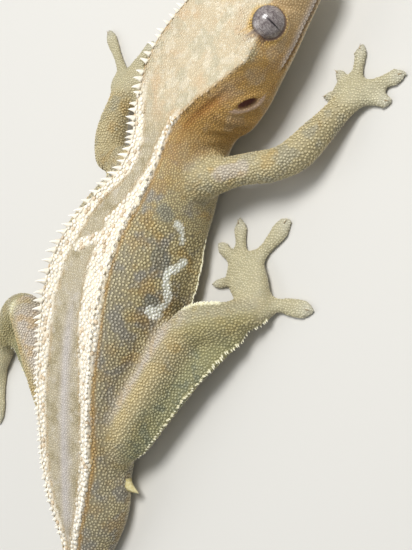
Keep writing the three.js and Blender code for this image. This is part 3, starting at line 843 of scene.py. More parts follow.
# The skin under the eyeball, and the skin round its opening, measured from the ball's surface.
SOCKET_DEPTH, RIM_HEIGHT, RIM_SLOPE = 0.45, 0.2, 1.5


def open_sockets(points_mm, head):
    """Sinks the skin below the eyeball inside the opening, and brings it close to the ball round the edge."""
    gap, ways, angle = eye_fields(points_mm)
    beyond = angle - OPENING
    near = head * (1 - ramp(gap, EYE_RADIUS + 2.0, EYE_RADIUS + 3.0))
    inside = (1 - ramp(beyond, -0.07, 0.03)) * near
    rim = EYE_RADIUS + RIM_HEIGHT
    highest = rim + RIM_SLOPE * EYE_RADIUS * np.maximum(beyond - 0.12, 0)
    around = near * (1 - inside) * (1 - ramp(beyond, 0.5, 0.8))
    cut = np.minimum(highest - gap, 0) * around
    raised = np.maximum(rim - gap, 0) * around * (1 - ramp(beyond, 0.3, 0.6))
    move = inside * (EYE_RADIUS - SOCKET_DEPTH - gap) + cut + raised
    return points_mm + ways * move[:, None]


CREST_RELAX_STEPS, CREST_RELAX_WIDTH = 14, 2.2
LOWEST_SKIN = 0.02


def push_skin():
    """Gives the skin its folds and its eye sockets, and returns what each vertex belongs to."""
    points = vertices_of(skin.data)
    normals = normals_of(skin.data)
    belongs = region_weights(points)
    f = places(points, normals)
    near_crest = bump(f["to_crest"], CREST_RELAX_WIDTH) * (1 - belongs["arm"] - belongs["leg"])
    points = roll_left_side(points, belongs["head"] + belongs["trunk"] + belongs["tail"])
    edges = edges_of(skin.data)
    points = relax(points, edges, CREST_RELAX_STEPS, RELAX_BODY * near_crest[:, None])
    set_vertices(skin.data, points)
    normals = relax(normals_of(skin.data), edges, 3)
    push = push_folds(points, places(points, normals), belongs)
    points = relax(points + unit(normals) * push[:, None], edges, 1, 0.3)
    points = open_sockets(points, belongs["head"])
    set_vertices(skin.data, np.column_stack([points[:, :2], np.maximum(points[:, 2], LOWEST_SKIN)]))
    return belongs


belongs = push_skin()
print("folds pushed in")

# %% [markdown]
# The markings are stored on the skin as values from 0 to 1, one for each kind of colour: the cream
# crests, the golden line beside them, the grey back, the gold cheek and so on. Most follow the body's own
# places. A few are painted light: a painted highlight along the ridge of the back, and painted shade in the
# groove below the crown, the line of the mouth, the ears, the nostrils, the eye sockets and the armpit.
# A few pale marks on the flank belong to this animal alone, so they are given as short strokes in
# the photograph's pixels and carried along the line of sight onto the skin.


# %% From a pixel to the skin
def pixels_of(points_mm):
    """Where each point shows in the picture, and how far it is from the camera."""
    right, up, backward = (np.array(axis) for axis in view_axes())
    eye = np.array(LOOK_AT + Vector(backward) * DISTANCE) / MM
    offset = points_mm - eye
    depth = -offset @ backward
    focal = PIXELS_PER_MM * DISTANCE / MM
    across = IMAGE_WIDTH / 2 + focal * (offset @ right) / depth
    down = IMAGE_HEIGHT / 2 - focal * (offset @ up) / depth
    return np.column_stack([across, down]), depth


def skin_under(pixels, points_mm, normals):
    """The vertex nearest to the camera within a short reach of each pixel, and the skin's normal there."""
    shown, depth = pixels_of(points_mm)
    backward = np.array(view_axes()[2])
    facing = normals @ backward > -0.1
    found = []
    for pixel in pixels:
        gap = np.hypot(*(shown - pixel).T)
        reach = max(2.5, gap[facing].min() + 1.0)
        near = np.flatnonzero(facing & (gap <= reach))
        found.append(near[np.argmin(depth[near] + gap[near])])
    return points_mm[found], normals[found]


def along_stroke(corners, step):
    """A stroke's corners joined by straight runs and read every step, in pixels."""
    corners = np.array(corners, float)
    run = np.concatenate([[0], np.cumsum(np.hypot(*np.diff(corners, axis=0).T))])
    at = np.arange(0, run[-1] + step / 2, step)
    return np.column_stack([np.interp(at, run, corners[:, a]) for a in range(2)])


def stroke_mask(corners, width_mm, points_mm, normals):
    """1 within a stroke's width on the skin, easing to 0 outside it."""
    places_hit = skin_under(along_stroke(corners, 1.5), points_mm, normals)[0]
    tree = KDTree(len(places_hit))
    for i, place in enumerate(places_hit):
        tree.insert(place, i)
    tree.balance()
    gap = np.array([tree.find(p)[2] for p in points_mm])
    return 1 - ramp(gap, width_mm * 0.45, width_mm * 0.62)


# %% Places of the markings
# Each stroke: its corners in the photograph's pixels, and its width on the skin.
PALE_MARKS = {
    "behind the elbow": ([(178, 223), (181, 231), (183.5, 242)], 0.9),
    "flank hook": ([(186, 262), (179, 268), (168, 272), (166, 280), (167, 291), (169, 299), (163, 307)], 1.3),
    "flank foot": ([(163, 307), (155, 311), (147, 309)], 1.3),
    "flank patch": ([(152, 315), (158, 317)], 1.6),
}
BRIDGE = ([(110, 231), (99, 237), (86, 241), (76, 246)], 1.7)
KNEE_RIDGE = ([(184, 307), (192, 303), (205, 300), (219, 297)], 1.5)
# The painted shade in the crease of the armpit.
ARMPIT_SHADE = ([(204, 190), (214, 187), (224, 183), (232, 178)], 1.5)
SHOULDER = ([(219, 174), (229, 171), (241, 168)], 2.6)
DARK_SPOTS = {
    "above the pale hook": ([(158, 256), (162, 262)], 3.0),
    "behind the shoulder": ([(164, 211), (167, 217)], 2.4),
    "below the hook": ([(150, 300), (153, 304)], 2.6),
}
# The width of the cream band inside each crest at some distances from the snout.
BAND_RUN = [40, 46, 52, 56, 60, 64, 68, 72, 80, 86, 90, 96, 101, 112, 118, 124, 130, 137]
BAND_RIGHT = [0.9, 1.1, 1.5, 2.4, 3.3, 5.0, 4.2, 5.3, 4.3, 4.0, 3.1, 2.4, 1.7, 1.5, 1.2, 0.9, 0.8, 0.4]
BAND_LEFT = [1.6, 2.4, 2.8, 1.6, 1.8, 2.2, 2.8, 3.2, 3.5, 3.0, 2.7, 2.5, 2.2, 1.6, 1.4, 1.3, 1.0, 0.5]


# How far outside the crest the band reaches, and how much further over the hind part of the right side.
BAND_OUTSIDE, BAND_BULGE, BULGE_RUN, BULGE_LENGTH = 0.55, 0.7, 85, 9
CROWN_END, BACK_END = (38, 47), (132, 142)


# %% Markings of the body
def paint_body(m, f, body, stroke):
    """The crown, the back with a painted highlight along its ridge, the cream bands with their lines, the
    flanks and the groove below the crown with its own orange and painted shade.
    """
    run, gap, below, up = f["run"], f["crest_gap"], f["below_crest"], f["up"]
    wobble = 0.35 * np.sin(run * 1.9) + 0.3 * np.sin(run * 0.83 + 1.0)
    inside = ramp(gap, -0.5, 0.1) * ramp(up, 0.15, 0.45) * (1 - ramp(run, *BACK_END)) * body
    m["crown"] = inside * (1 - ramp(run, *CROWN_END)) * ramp(f["behind"], -2, 2)
    m["back"] = ramp(gap, 0.3, 1.0) * ramp(run, *CROWN_END) * inside
    # Painted highlight: a paler line along the ridge in the middle of the back.
    m["painted_ridge_highlight"] = bump(f["aside"], 1.5) * stretch("line of the back", run) * m["back"]
    on_right = f["aside"] > 0
    width = np.where(on_right, np.interp(run, BAND_RUN, BAND_RIGHT), np.interp(run, BAND_RUN, BAND_LEFT))
    width = width * (1 + 0.12 * wobble)
    edge = -BAND_OUTSIDE - BAND_BULGE * bump(run - BULGE_RUN, BULGE_LENGTH) * on_right
    banded = stretch("bands", run) * (1 - ramp(below, 2.6, 3.6)) * body
    band = within(gap, edge - 0.15, edge + 0.15, width - 0.15, width + 0.25)
    m["band"] = np.maximum(band, stroke(BRIDGE) * body) * banded
    line = bump(gap - edge + 0.4, 0.28) + 0.5 * bump(gap - width - 0.4, 0.25)
    rim = bump(gap + 0.35, 0.55) * stretch("crown rim", run) * body
    m["band_edge"] = np.maximum(np.clip(line, 0, 1) * banded, 0.8 * rim) * (1 - m["band"])
    m["below_band"] = bump(gap + 2.6, 1.8) * stretch("below the bands", run) * body
    # The groove's own orange, darkened as painted shade under the overhang of the crown.
    m["groove_orange_and_shade"] = bump(gap + 1.5, 1.0) * within(below, 0.5, 1.6, 4, 6.5) * stretch("groove_orange_and_shade", run) * body
    m["cheek"] = (1 - ramp(gap, -0.4, 0.3)) * (1 - ramp(run, 38, 56)) * body
    m["dark_spot"] = np.maximum.reduce([stroke(spot) for spot in DARK_SPOTS.values()]) * body


# %% Markings of the head
def paint_head(m, points_mm, f, belongs):
    """The snout, the lips, the chin, the ring and the socket of each eye, the ears and the nostrils, with
    painted shade along the line of the mouth, in the sockets, the ears and the nostrils.
    """
    head, behind = belongs["head"], f["behind"]
    m["face"] = (1 - ramp(behind, 9, 17)) * head
    above = f["height"] - mouth_height(behind)
    lips = head_sides(f, belongs, (0.8, 0.97)) * within(behind, -2, 0, MOUTH_LENGTH - 3, MOUTH_LENGTH + 1)
    m["lip"] = bump(above - 0.75, 0.75) * lips
    # Painted shade in the closed line of the mouth.
    m["mouth"] = bump(above, 0.2) * lips
    m["chin"] = ramp(-above, 0.2, 1.6) * head * (1 - ramp(behind, 20, 27))
    from_eye, _, angle = eye_fields(points_mm)
    from_ball, beyond = from_eye - EYE_RADIUS, angle - OPENING
    ring = within(beyond, -0.02, 0.06, 0.12, 0.3) * head * (1 - ramp(from_ball, 0.9, 1.5))
    m["eye_ring"] = ring * ramp(behind, EYE_FROM_SNOUT - 3.5, EYE_FROM_SNOUT)
    # Painted shade on the sunk skin of the socket under each eyeball.
    m["socket"] = (1 - ramp(beyond, -0.02, 0.06)) * head * (1 - ramp(from_ball, 0.1, 0.6))
    ear, above_ear = ear_place(behind, f["height"])
    # Painted shade in the ear opening.
    m["ear"] = (1 - ramp(ear, 0.75, 1.15)) * outer_head(f, belongs)
    m["ear_lip"] = bump(ear - 1.5, 0.4) * outer_head(f, belongs) * (above_ear < 0)
    # Painted shade in the nostril.
    m["nostril"] = ramp(nostril_share(points_mm, behind, f["head_aside"]), 0.35, 0.75) * head


# %% Markings of the limbs
TOE_TIP_HEIGHT, TOE_PAD_REACH = 1.0, 2.6
KNEE_CAP_RISE, KNEE_CAP_REACH = 3.0, 1.6


def paint_limbs(m, points_mm, f, belongs, stroke):
    """The lavender front, gold middle and olive rear of the legs, the knees, the feet and the toe pads, and
    the painted shade in the armpit.
    """
    leg, across = belongs["leg"], f["across"]
    limb = np.clip(belongs["arm"] + leg + belongs["hand"] + belongs["foot"], 0, 1)
    m["limb"] = limb
    m["shin"] = leg * ramp(f["along"], 29, 35)
    shoulder = stroke(SHOULDER) * belongs["arm"]
    m["limb_front"] = np.maximum(leg * ramp(-across, -0.8, 1.4), 0.8 * shoulder)
    m["limb_gold"] = leg * bump(across - 1.4, 1.3)
    m["limb_rear"] = leg * ramp(across, 2.8, 5.5)
    m["foot"] = np.clip(belongs["hand"] + belongs["foot"], 0, 1)
    tips = [(*toe[2:4], TOE_TIP_HEIGHT) for parts in LIMBS.values() for toe in parts["toes"]]
    to_tips = [np.linalg.norm(points_mm - np.array(tip) - np.array(SHIFT), axis=1) for tip in tips]
    m["toe_pad"] = m["foot"] * bump(np.min(to_tips, axis=0), TOE_PAD_REACH)
    left_knee = np.array(LIMBS["leg_left"]["bones"][1]) + np.array(SHIFT) + [0, 0, KNEE_CAP_RISE]
    cap = bump(np.linalg.norm(points_mm - left_knee, axis=1), KNEE_CAP_REACH)
    m["knee"] = np.maximum(stroke(KNEE_RIDGE), cap) * leg
    m["belly"] = ramp(-f["up"], 0.25, 0.7) * (1 - 0.5 * m["foot"])
    m["pale_mark"] = np.maximum.reduce([stroke(mark) for mark in PALE_MARKS.values()]) * (1 - limb)
    # Painted shade in the crease of the armpit.
    m["painted_armpit_shade"] = stroke(ARMPIT_SHADE) * (1 - limb)


# %% Store the markings
def paint(points_mm, normals, f, belongs):
    """Every marking by name, from 0 to 1. The pits are chosen scale by scale later."""
    def stroke(corners_and_width):
        return stroke_mask(*corners_and_width, points_mm, normals)

    m = {"pit": np.zeros(len(points_mm))}
    paint_body(m, f, belongs["head"] + belongs["trunk"] + belongs["tail"], stroke)
    paint_head(m, points_mm, f, belongs)
    paint_limbs(m, points_mm, f, belongs, stroke)
    return {name: np.clip(value, 0, 1) for name, value in m.items()}


def store(mesh, name, values, kind="FLOAT"):
    """Stores a value or a direction for each vertex."""
    if name in mesh.attributes:
        mesh.attributes.remove(mesh.attributes[name])
    layer = mesh.attributes.new(name, kind, "POINT")
    layer.data.foreach_set("value" if kind == "FLOAT" else "vector", values.astype(np.float32).ravel())


points = vertices_of(skin.data)
normals = normals_of(skin.data)
belongs = region_weights(points)
fields = places(points, normals)
marks = paint(points, normals, fields, belongs)
for name, values in marks.items():
    store(skin.data, name, values)
limb_share = marks["limb"][:, None]
lie = unit(-fields["ahead"] * (1 - limb_share) + fields["heading"] * limb_share)
store(skin.data, "lie", lie, "FLOAT_VECTOR")
print("markings", len(marks), "on", len(points), "vertices")

# %% [markdown]
# One function paints the skin and the scales alike. Each marking lays its colour over those before it.
# The ground is the colour between the scales, and the tip is the colour on top of a scale, which is
# paler: on the flank that gives the rows of pale dots. The step from ground to tip is partly the grains' own
# colour and partly painted light: painted highlight on each grain's top and painted shade between grains.
# Slow noise breaks the colours up, as pigment does in patches of a few millimetres.

# %% The animal's colours
# Each layer: the marking, the colour between the scales, darker partly as painted shade, the colour on their
# tips, paler partly as painted highlight, and how well it covers.
COLOUR_LAYERS = [
    ("cheek", "A67E42", "D0A860", 1.0),
    ("face", "A98A5E", "CDB48A", 0.8),
    ("chin", "927A54", "C6B28A", 0.8),
    ("below_band", "6A665C", "C2BAA4", 0.42),
    ("dark_spot", "55554F", "A8A695", 0.7),
    ("limb", "978963", "D1C398", 1.0),
    ("limb_front", "A2968A", "D6CBBB", 0.9),
    ("limb_gold", "A0864F", "D2B97E", 0.4),
    ("limb_rear", "74744F", "ABA97E", 0.8),
    ("shin", "7F7A4E", "B8B07C", 0.6),
    ("foot", "A39A78", "D0C8A6", 0.85),
    ("toe_pad", "B5B09A", "D6D2BE", 0.8),
    ("belly", "CFC2A4", "E9E1CB", 0.8),
    ("back", "A6987A", "D0C5A9", 1.0),
    # Painted highlight along the ridge of the back.
    ("painted_ridge_highlight", "B8B0AC", "D6CFCB", 0.75),
    ("crown", "C4B08C", "E0D2B4", 1.0),
    # The groove's own orange, darkened as painted shade under the overhang of the crown.
    ("groove_orange_and_shade", "96602A", "C08E46", 0.95),
    ("band_edge", "A8834A", "CBA566", 0.85),
    ("band", "EADDC2", "FFF9EC", 1.0),
    ("pit", "B8966A", "D0B488", 0.7),
    ("pale_mark", "EDEDD8", "FFFFFA", 1.0),
    ("knee", "D5CD9A", "FAF6DE", 1.0),
    ("eye_ring", "B98F42", "DDB968", 0.8),
    ("lip", "A79C98", "CBC1B8", 0.75),
    # Painted shade in the closed line of the mouth.
    ("mouth", "6A4C3A", "7A5C48", 0.75),
    ("ear_lip", "CFAE98", "DFC4AE", 0.9),
    # Painted shade in the openings of the ears and the nostrils.
    ("ear", "5A2618", "6E3020", 1.0),
    ("nostril", "4E3424", "5C4030", 0.9),
    # Painted shade in the crease of the armpit.
    ("painted_armpit_shade", "6E4E40", "876856", 0.7),
    # Painted shade in the socket under each eyeball.
    ("socket", "4A342C", "5A4038", 0.9),
]
# Slow patches over a marking: the marking, the size in millimetres, where they start, both colours, strength.
PATCHES = [
    (None, 5.0, 0.50, "5F5C58", "B5B0A6", 0.75),
    (None, 4.2, 0.55, "8C6E38", "D6B670", 0.6),
    ("limb", 3.4, 0.55, "75715F", "B9B39A", 0.6),
    ("limb", 4.6, 0.56, "93783C", "D0B274", 0.55),
    ("limb_front", 3.0, 0.54, "A38450", "DDBE84", 0.55),
    ("limb_rear", 2.6, 0.52, "5C5F48", "91937A", 0.7),
    ("cheek", 5.5, 0.54, "96826A", "C4AE8E", 0.6),
    ("cheek", 3.5, 0.56, "8A6430", "BC9048", 0.5),
    ("back", 3.2, 0.52, "877A56", "B2A37C", 0.65),
    ("back", 2.2, 0.57, "BDB3A0", "D9D0BE", 0.6),
    ("crown", 5.0, 0.55, "C49C6C", "DDBC92", 0.4),
    ("crown", 4.0, 0.54, "B3AC90", "CDC8AE", 0.55),
    ("crown", 1.8, 0.53, "D8CBAE", "F0E7D2", 0.6),
]
# The colours between the grains and on their tops, darker and paler partly as painted shade and painted
# highlight.
BASE_GROUND_AND_SHADE, BASE_TIP_AND_HIGHLIGHT = "756648", "DACC9C"
# Where a patch's cloud starts and is full, either side of its own start.
PATCH_SOFT_BELOW, PATCH_SOFT_ABOVE = 0.05, 0.1
# Each patch takes its noise from another place, so that no two patches coincide.
PATCH_STEP = (0.37, 0.11, 0.23)
# A scale is darkest and lightest by these factors.
TONE_RANGE, TONE_DARKEST = 0.22, 0.89


def gecko_colour(tree):
    """The ground colour and the tip colour, mixed by how high on a scale the point is: painted shade at a
    grain's root and painted highlight on its top.
    """
    ground, tip = linear(BASE_GROUND_AND_SHADE), linear(BASE_TIP_AND_HIGHLIGHT)
    seed = 0

    def lay(amount, below, above):
        return mix(tree, amount, below, above)

    def lay_patches(wanted):
        nonlocal ground, tip, seed
        for marking_name, size, start, low, high, strength in PATCHES:
            if marking_name != wanted:
                continue
            seed += 1
            aside = tuple(seed * step for step in PATCH_STEP)
            place = add_node(tree, "ShaderNodeMapping", Vector=object_place(tree), Location=aside).outputs[0]
            cloud = noise(tree, place, size, 2.5, 0.55)
            amount = remap(tree, cloud, start - PATCH_SOFT_BELOW, start + PATCH_SOFT_ABOVE, 0.0, strength)
            if wanted:
                amount = calculate(tree, "MULTIPLY", amount, marking(tree, wanted))
            ground, tip = lay(amount, ground, linear(low)), lay(amount, tip, linear(high))

    lay_patches(None)
    for name, low, high, strength in COLOUR_LAYERS:
        amount = calculate(tree, "MULTIPLY", marking(tree, name), strength)
        ground, tip = lay(amount, ground, linear(low)), lay(amount, tip, linear(high))
        lay_patches(name)
    # Painted highlight and shade: each grain goes from the darker ground at its root to the paler tip at its
    # top.
    height = remap(tree, marking(tree, "tip"), 0.1, 1.0, 0.3, 0.95)
    colour = lay(height, ground, tip)
    tone = calculate(tree, "MULTIPLY_ADD", marking(tree, "tone"), TONE_RANGE, TONE_DARKEST)
    shade = add_node(tree, "ShaderNodeCombineColor", Red=tone, Green=tone, Blue=tone)
    return mix(tree, 1.0, colour, shade.outputs[0], "MULTIPLY")


KERATIN_IOR = 1.55


def scaly_material(name, roughness, grain_mm, grain_depth):
    """Dry keratin: a soft sheen from the side and a fine grain."""
    material, tree = new_material(name)
    colour = gecko_colour(tree)
    height = noise(tree, object_place(tree), grain_mm, 3.0)
    grain = add_node(tree, "ShaderNodeBump", Strength=0.5, Distance=grain_depth * MM, Height=height)
    surface(tree, colour, Roughness=roughness, IOR=KERATIN_IOR, Normal=grain.outputs[0])
    return material


SKIN_TONE = 0.4
# The skin between the grains takes the ground colour, darker partly as painted shade.
store(skin.data, "tip", np.zeros(len(points)))
store(skin.data, "tone", np.full(len(points), SKIN_TONE))
skin_material = scaly_material("soft_gecko_skin", 0.62, 0.22, 0.05)
scale_material = scaly_material("scale_keratin", 0.36, 0.12, 0.015)
skin.data.materials.clear()
skin.data.materials.append(skin_material)
select_only(skin)
bpy.ops.object.shade_smooth()
print("materials", skin_material.name, scale_material.name)

# %% [markdown]
# The scales of this gecko are small rounded grains, set side by side like beads and largest on the flanks
# and legs. One grain is modelled: a low ball cut flat below. Points are then spread over the skin
# so that no two are nearer than a grain's width, and each gets its own copy of the grain, turned to the
# skin and leaning backwards. Blender's instances would be lighter, but they can't be exported, so the
# copies are joined into solid meshes.

# %% The skin's unwrap, where every scale gets a small patch
PATCH_SIZE = 0.003
UNWRAP_ANGLE, UNWRAP_MARGIN = math.radians(66), 0.002


def unwrap(obj, name):
    """Unwraps an object into a new map."""
    select_only(obj)
    obj.data.uv_layers.new(name=name)
    obj.data.uv_layers.active = obj.data.uv_layers[name]
    bpy.ops.object.mode_set(mode="EDIT")
    bpy.ops.mesh.select_all(action="SELECT")
    bpy.ops.uv.smart_project(angle_limit=UNWRAP_ANGLE, island_margin=UNWRAP_MARGIN)
    bpy.ops.object.mode_set(mode="OBJECT")


unwrap(skin, "OFBake")
print("unwrapped", len(skin.data.loops), "corners")

# %% One grain
def model_grain(segments, rings):
    """A low ball cut flat below, 1 wide each way from its middle, as vertices and faces."""
    bpy.ops.object.select_all(action="DESELECT")
    bpy.ops.mesh.primitive_uv_sphere_add(segments=segments, ring_count=rings, radius=1)
    grain = bpy.context.object
    bpy.ops.object.mode_set(mode="EDIT")
    bpy.ops.mesh.select_all(action="SELECT")
    bpy.ops.mesh.bisect(plane_co=(0, 0, 0), plane_no=(0, 0, 1), use_fill=True, clear_inner=True)
    bpy.ops.object.mode_set(mode="OBJECT")
    corners = np.array([v.co[:] for v in grain.data.vertices])
    faces = [list(p.vertices) for p in grain.data.polygons]
    bpy.data.objects.remove(grain)
    corners[:, 2] = np.maximum(corners[:, 2], 0)
    return corners, faces


def triangles_of(shape):
    """How many triangles the faces of a modelled shape make."""
    return sum(len(face) - 2 for face in shape[1])


BEAD = model_grain(6, 4)
print("a grain has", triangles_of(BEAD), "triangles")


# %% Spread points over the skin
# How many points are tried in each square of one spacing, before those too near to another are dropped.
POINTS_TRIED = 9


def spread_group(spacing_mm, seed):
    """Geometry nodes that spread points over the faces sown, with no two nearer than the spacing."""
    tree = bpy.data.node_groups.new("spread", "GeometryNodeTree")
    tree.interface.new_socket("Geometry", in_out="INPUT", socket_type="NodeSocketGeometry")
    tree.interface.new_socket("Geometry", in_out="OUTPUT", socket_type="NodeSocketGeometry")
    given = add_node(tree, "NodeGroupInput").outputs[0]
    sown = add_node(tree, "GeometryNodeInputNamedAttribute", {"data_type": "FLOAT"}, Name="sown").outputs[0]
    chosen = add_node(tree, "FunctionNodeCompare", {"operation": "GREATER_THAN"}, _0=sown, _1=0.5).outputs[0]
    spacing = spacing_mm * MM
    inputs = {"Mesh": given, "Selection": chosen, "Seed": seed}
    inputs.update({"Distance_Min": spacing, "Density_Max": POINTS_TRIED / spacing**2})
    method = {"distribute_method": "POISSON"}
    points = add_node(tree, "GeometryNodeDistributePointsOnFaces", method, **inputs)
    kinds = {"data_type": "FLOAT_VECTOR", "domain": "POINT"}
    facing = {"Geometry": points.outputs["Points"], "Name": "facing", "Value": points.outputs["Normal"]}
    kept = add_node(tree, "GeometryNodeStoreNamedAttribute", kinds, **facing)
    as_mesh = add_node(tree, "GeometryNodePointsToVertices", Points=kept.outputs[0])
    add_node(tree, "NodeGroupOutput", Geometry=as_mesh.outputs[0])
    return tree


def read_layer(mesh, name):
    """A layer of the mesh as an array, with a row for each item when it has more than one number."""
    layer = mesh.attributes[name]
    width = {"FLOAT": 1, "FLOAT2": 2, "FLOAT_VECTOR": 3}[layer.data_type]
    flat = np.empty(len(layer.data) * width, np.float32)
    layer.data.foreach_get("value" if width == 1 else "vector", flat)
    return flat.astype(float) if width == 1 else flat.reshape(-1, width).astype(float)


def spread(sown, spacing_mm, seed):
    """Points over the sown skin, with the skin's own layers read at each of them."""
    store(skin.data, "sown", sown)
    scratch = bpy.data.objects.new("scratch", skin.data.copy())
    bpy.context.scene.collection.objects.link(scratch)
    modifier = scratch.modifiers.new("spread", "NODES")
    modifier.node_group = spread_group(spacing_mm, seed)
    select_only(scratch)
    bpy.ops.object.modifier_apply(modifier=modifier.name)
    found = {"place": vertices_of(scratch.data)}
    for name in ["facing", "lie", "OFBake", *marks]:
        found[name] = read_layer(scratch.data, name)
    bpy.data.objects.remove(scratch)
    return found


# %% Set a grain on every point
def frames_on(facing, lie, lean):
    """Three axes for each point: sideways, backwards along the skin, and out of it with a lean."""
    out = unit(facing)
    back_dir = unit(lie - (lie * out).sum(axis=1, keepdims=True) * out)
    tilted = unit(out + lean[:, None] * back_dir)
    aside = unit(np.cross(back_dir, tilted))
    return aside, np.cross(tilted, aside), tilted


def tile(shape, origins, axes, sizes):
    """Copies of a shape set on many frames, as one array of vertices and the faces of all."""
    corners, faces = shape
    count, each = len(origins), len(corners)
    scaled = corners[None] * sizes[:, None, :]
    placed = origins[:, None, :] + sum(scaled[:, :, a, None] * axes[a][:, None, :] for a in range(3))
    lengths = np.array([len(face) for face in faces])
    flat = np.concatenate([np.array(face) for face in faces])
    loops = (np.arange(count)[:, None] * each + flat[None]).ravel()
    return placed.reshape(-1, 3), loops, np.tile(lengths, count)


def build_mesh(name, corners_mm, loops, lengths):
    """A smooth object from vertices, the corners of all faces in a row, and each face's count of corners."""
    corners_mm[:, 2] = np.maximum(corners_mm[:, 2], 0.0)
    mesh = bpy.data.meshes.new(name)
    mesh.vertices.add(len(corners_mm))
    mesh.vertices.foreach_set("co", (corners_mm * MM).astype(np.float32).ravel())
    mesh.loops.add(len(loops))
    mesh.loops.foreach_set("vertex_index", loops.astype(np.int32))
    mesh.polygons.add(len(lengths))
    starts = np.concatenate([[0], np.cumsum(lengths)[:-1]])
    mesh.polygons.foreach_set("loop_start", starts.astype(np.int32))
    mesh.update(calc_edges=True)
    mesh.polygons.foreach_set("use_smooth", np.ones(len(lengths), bool))
    obj = bpy.data.objects.new(name, mesh)
    bpy.context.scene.collection.objects.link(obj)
    return obj


def dress(obj, shape, found, tone, tip_level=1.0):
    """Gives a coat piece its markings, its tips, its patches in the skin's unwrap and its material."""
    corners = shape[0]
    count, each = len(found["place"]), len(corners)
    for name in marks:
        store(obj.data, name, np.repeat(found[name], each))
    # The height on each grain, which lightens its top as painted highlight.
    store(obj.data, "tip", np.tile(corners[:, 2] / corners[:, 2].max(), count) * tip_level)
    store(obj.data, "tone", np.repeat(tone, each))
    spot = np.repeat(found["OFBake"], each, axis=0) + np.tile(corners[:, :2] * PATCH_SIZE / 2, (count, 1))
    loops = np.empty(len(obj.data.loops), np.int32)
    obj.data.loops.foreach_get("vertex_index", loops)
    layer = obj.data.uv_layers.new(name="OFBake")
    layer.uv.foreach_set("vector", spot[loops].astype(np.float32).ravel())
    obj.data.materials.append(scale_material)


coat = []
# The share of the scales of the cream bands that are tan.
PIT_SHARE = 0.10
# A grain's half width as a share of its spacing, how much longer than wide it is, and how deep its root sits.
GRAIN_WIDTH, GRAIN_NARROW, GRAIN_LONG, GRAIN_SINK = 0.64, 0.94, 1.1, 0.05
random_source = np.random.default_rng(7)


def grow_scales(name, sown, spacing, height, lean, seed):
    """A piece of the coat: grains of one spacing over part of the skin."""
    found = spread(sown, spacing, seed)
    count = len(found["place"])
    width = spacing * GRAIN_WIDTH * random_source.uniform(0.86, 1.12, count)
    tall = spacing * height * random_source.uniform(0.8, 1.25, count) * (1 - 0.35 * found["belly"])
    axes = frames_on(found["facing"], found["lie"], np.full(count, lean))
    sizes = np.column_stack([width * GRAIN_NARROW, width * GRAIN_LONG, tall])
    found["pit"] = 1.0 * (random_source.uniform(0, 1, count) < PIT_SHARE) * (found["band"] > 0.5)
    sunk = found["place"] - unit(found["facing"]) * GRAIN_SINK
    obj = build_mesh(name, *tile(BEAD, sunk, axes, sizes))
    dress(obj, BEAD, found, random_source.uniform(0, 1, count))
    coat.append(obj)
    print(name, count, "scales,", count * triangles_of(BEAD), "triangles")


# %% Areas of the coat
shown = 1 - np.clip(marks["socket"] * 1.2 + marks["ear"] + marks["nostril"], 0, 1)
small = belongs["head"] * (1 - ramp(fields["behind"], 30, 31))
feet = marks["foot"]
band_area = (marks["band"] > 0.5) & (small < 0.5)
above_all = (marks["crown"] + marks["back"] + marks["band"] > 0.5) & (small < 0.5) & ~band_area
neck_side = (fields["run"] < 58) & ~above_all & ~band_area & (small < 0.5) & (marks["limb"] < 0.5)
limb_area = (marks["limb"] > 0.5) & (feet < 0.5)
tail_area = (belongs["tail"] > 0.5) & ~above_all & ~band_area
rest_area = ~(above_all | band_area | neck_side | limb_area | tail_area) & (small < 0.5) & (feet < 0.5)
# Each piece of the coat: where it grows, its spacing, a grain's height as a share of it, and its lean back.
AREAS = {
    "face_scales": (small > 0.5, 0.40, 0.30, 0.15),
    "foot_scales": (feet > 0.5, 0.40, 0.32, 0.2),
    "back_scales": (above_all, 0.44, 0.32, 0.2),
    "band_scales": (band_area, 0.78, 0.42, 0.1),
    "neck_scales": (neck_side, 0.40, 0.36, 0.2),
    "flank_scales": (rest_area, 0.56, 0.42, 0.25),
    "limb_scales": (limb_area, 0.50, 0.42, 0.25),
    "tail_scales": (tail_area, 0.54, 0.40, 0.25),
}
for seed, (name, (area, spacing, height, lean)) in enumerate(AREAS.items()):
    grow_scales(name, area * shown, spacing, height, lean, seed + 1)

# %% [markdown]
# Two rows of spines run from the brows to the root of the tail. They are longest over the nape and the
# shoulders and sink to low beads behind. A spine is modelled as a circle that is extruded and
# narrowed four times, and is then set along each crest with its own length. The edges of the thighs and
# flanks carry smaller pointed scales.


# %% One spine
# Each step of the extrusion: how far it rises, how much it narrows and how far it bends.
SPINE_STEPS = [(0.18, 0.74, 0.03), (0.24, 0.72, 0.1), (0.28, 0.62, 0.2), (0.30, 0.16, 0.3)]


def model_spine(sides=6):
    """A spine 1 long and 1 in half width at its root, bent a little towards its own y axis."""
    bpy.ops.object.select_all(action="DESELECT")
    bpy.ops.mesh.primitive_circle_add(vertices=sides, radius=1, fill_type="NGON")
    spine = bpy.context.object
    bpy.ops.object.mode_set(mode="EDIT")
    bpy.ops.mesh.select_all(action="SELECT")
    reach = 0.0
    for rise, narrow, bend in SPINE_STEPS:
        reach += bend
        bpy.ops.mesh.extrude_region_move(TRANSFORM_OT_translate={"value": (0, bend, rise)})
        bpy.ops.transform.resize(value=(narrow, narrow, 1), center_override=(0, reach, 0))
    bpy.ops.mesh.select_all(action="SELECT")
    bpy.ops.mesh.normals_make_consistent(inside=False)
    bpy.ops.object.mode_set(mode="OBJECT")
    corners = np.array([v.co[:] for v in spine.data.vertices])
    faces = [list(p.vertices) for p in spine.data.polygons]
    bpy.data.objects.remove(spine)
    return corners, faces


SPINE = model_spine()
print("a spine has", triangles_of(SPINE), "triangles")

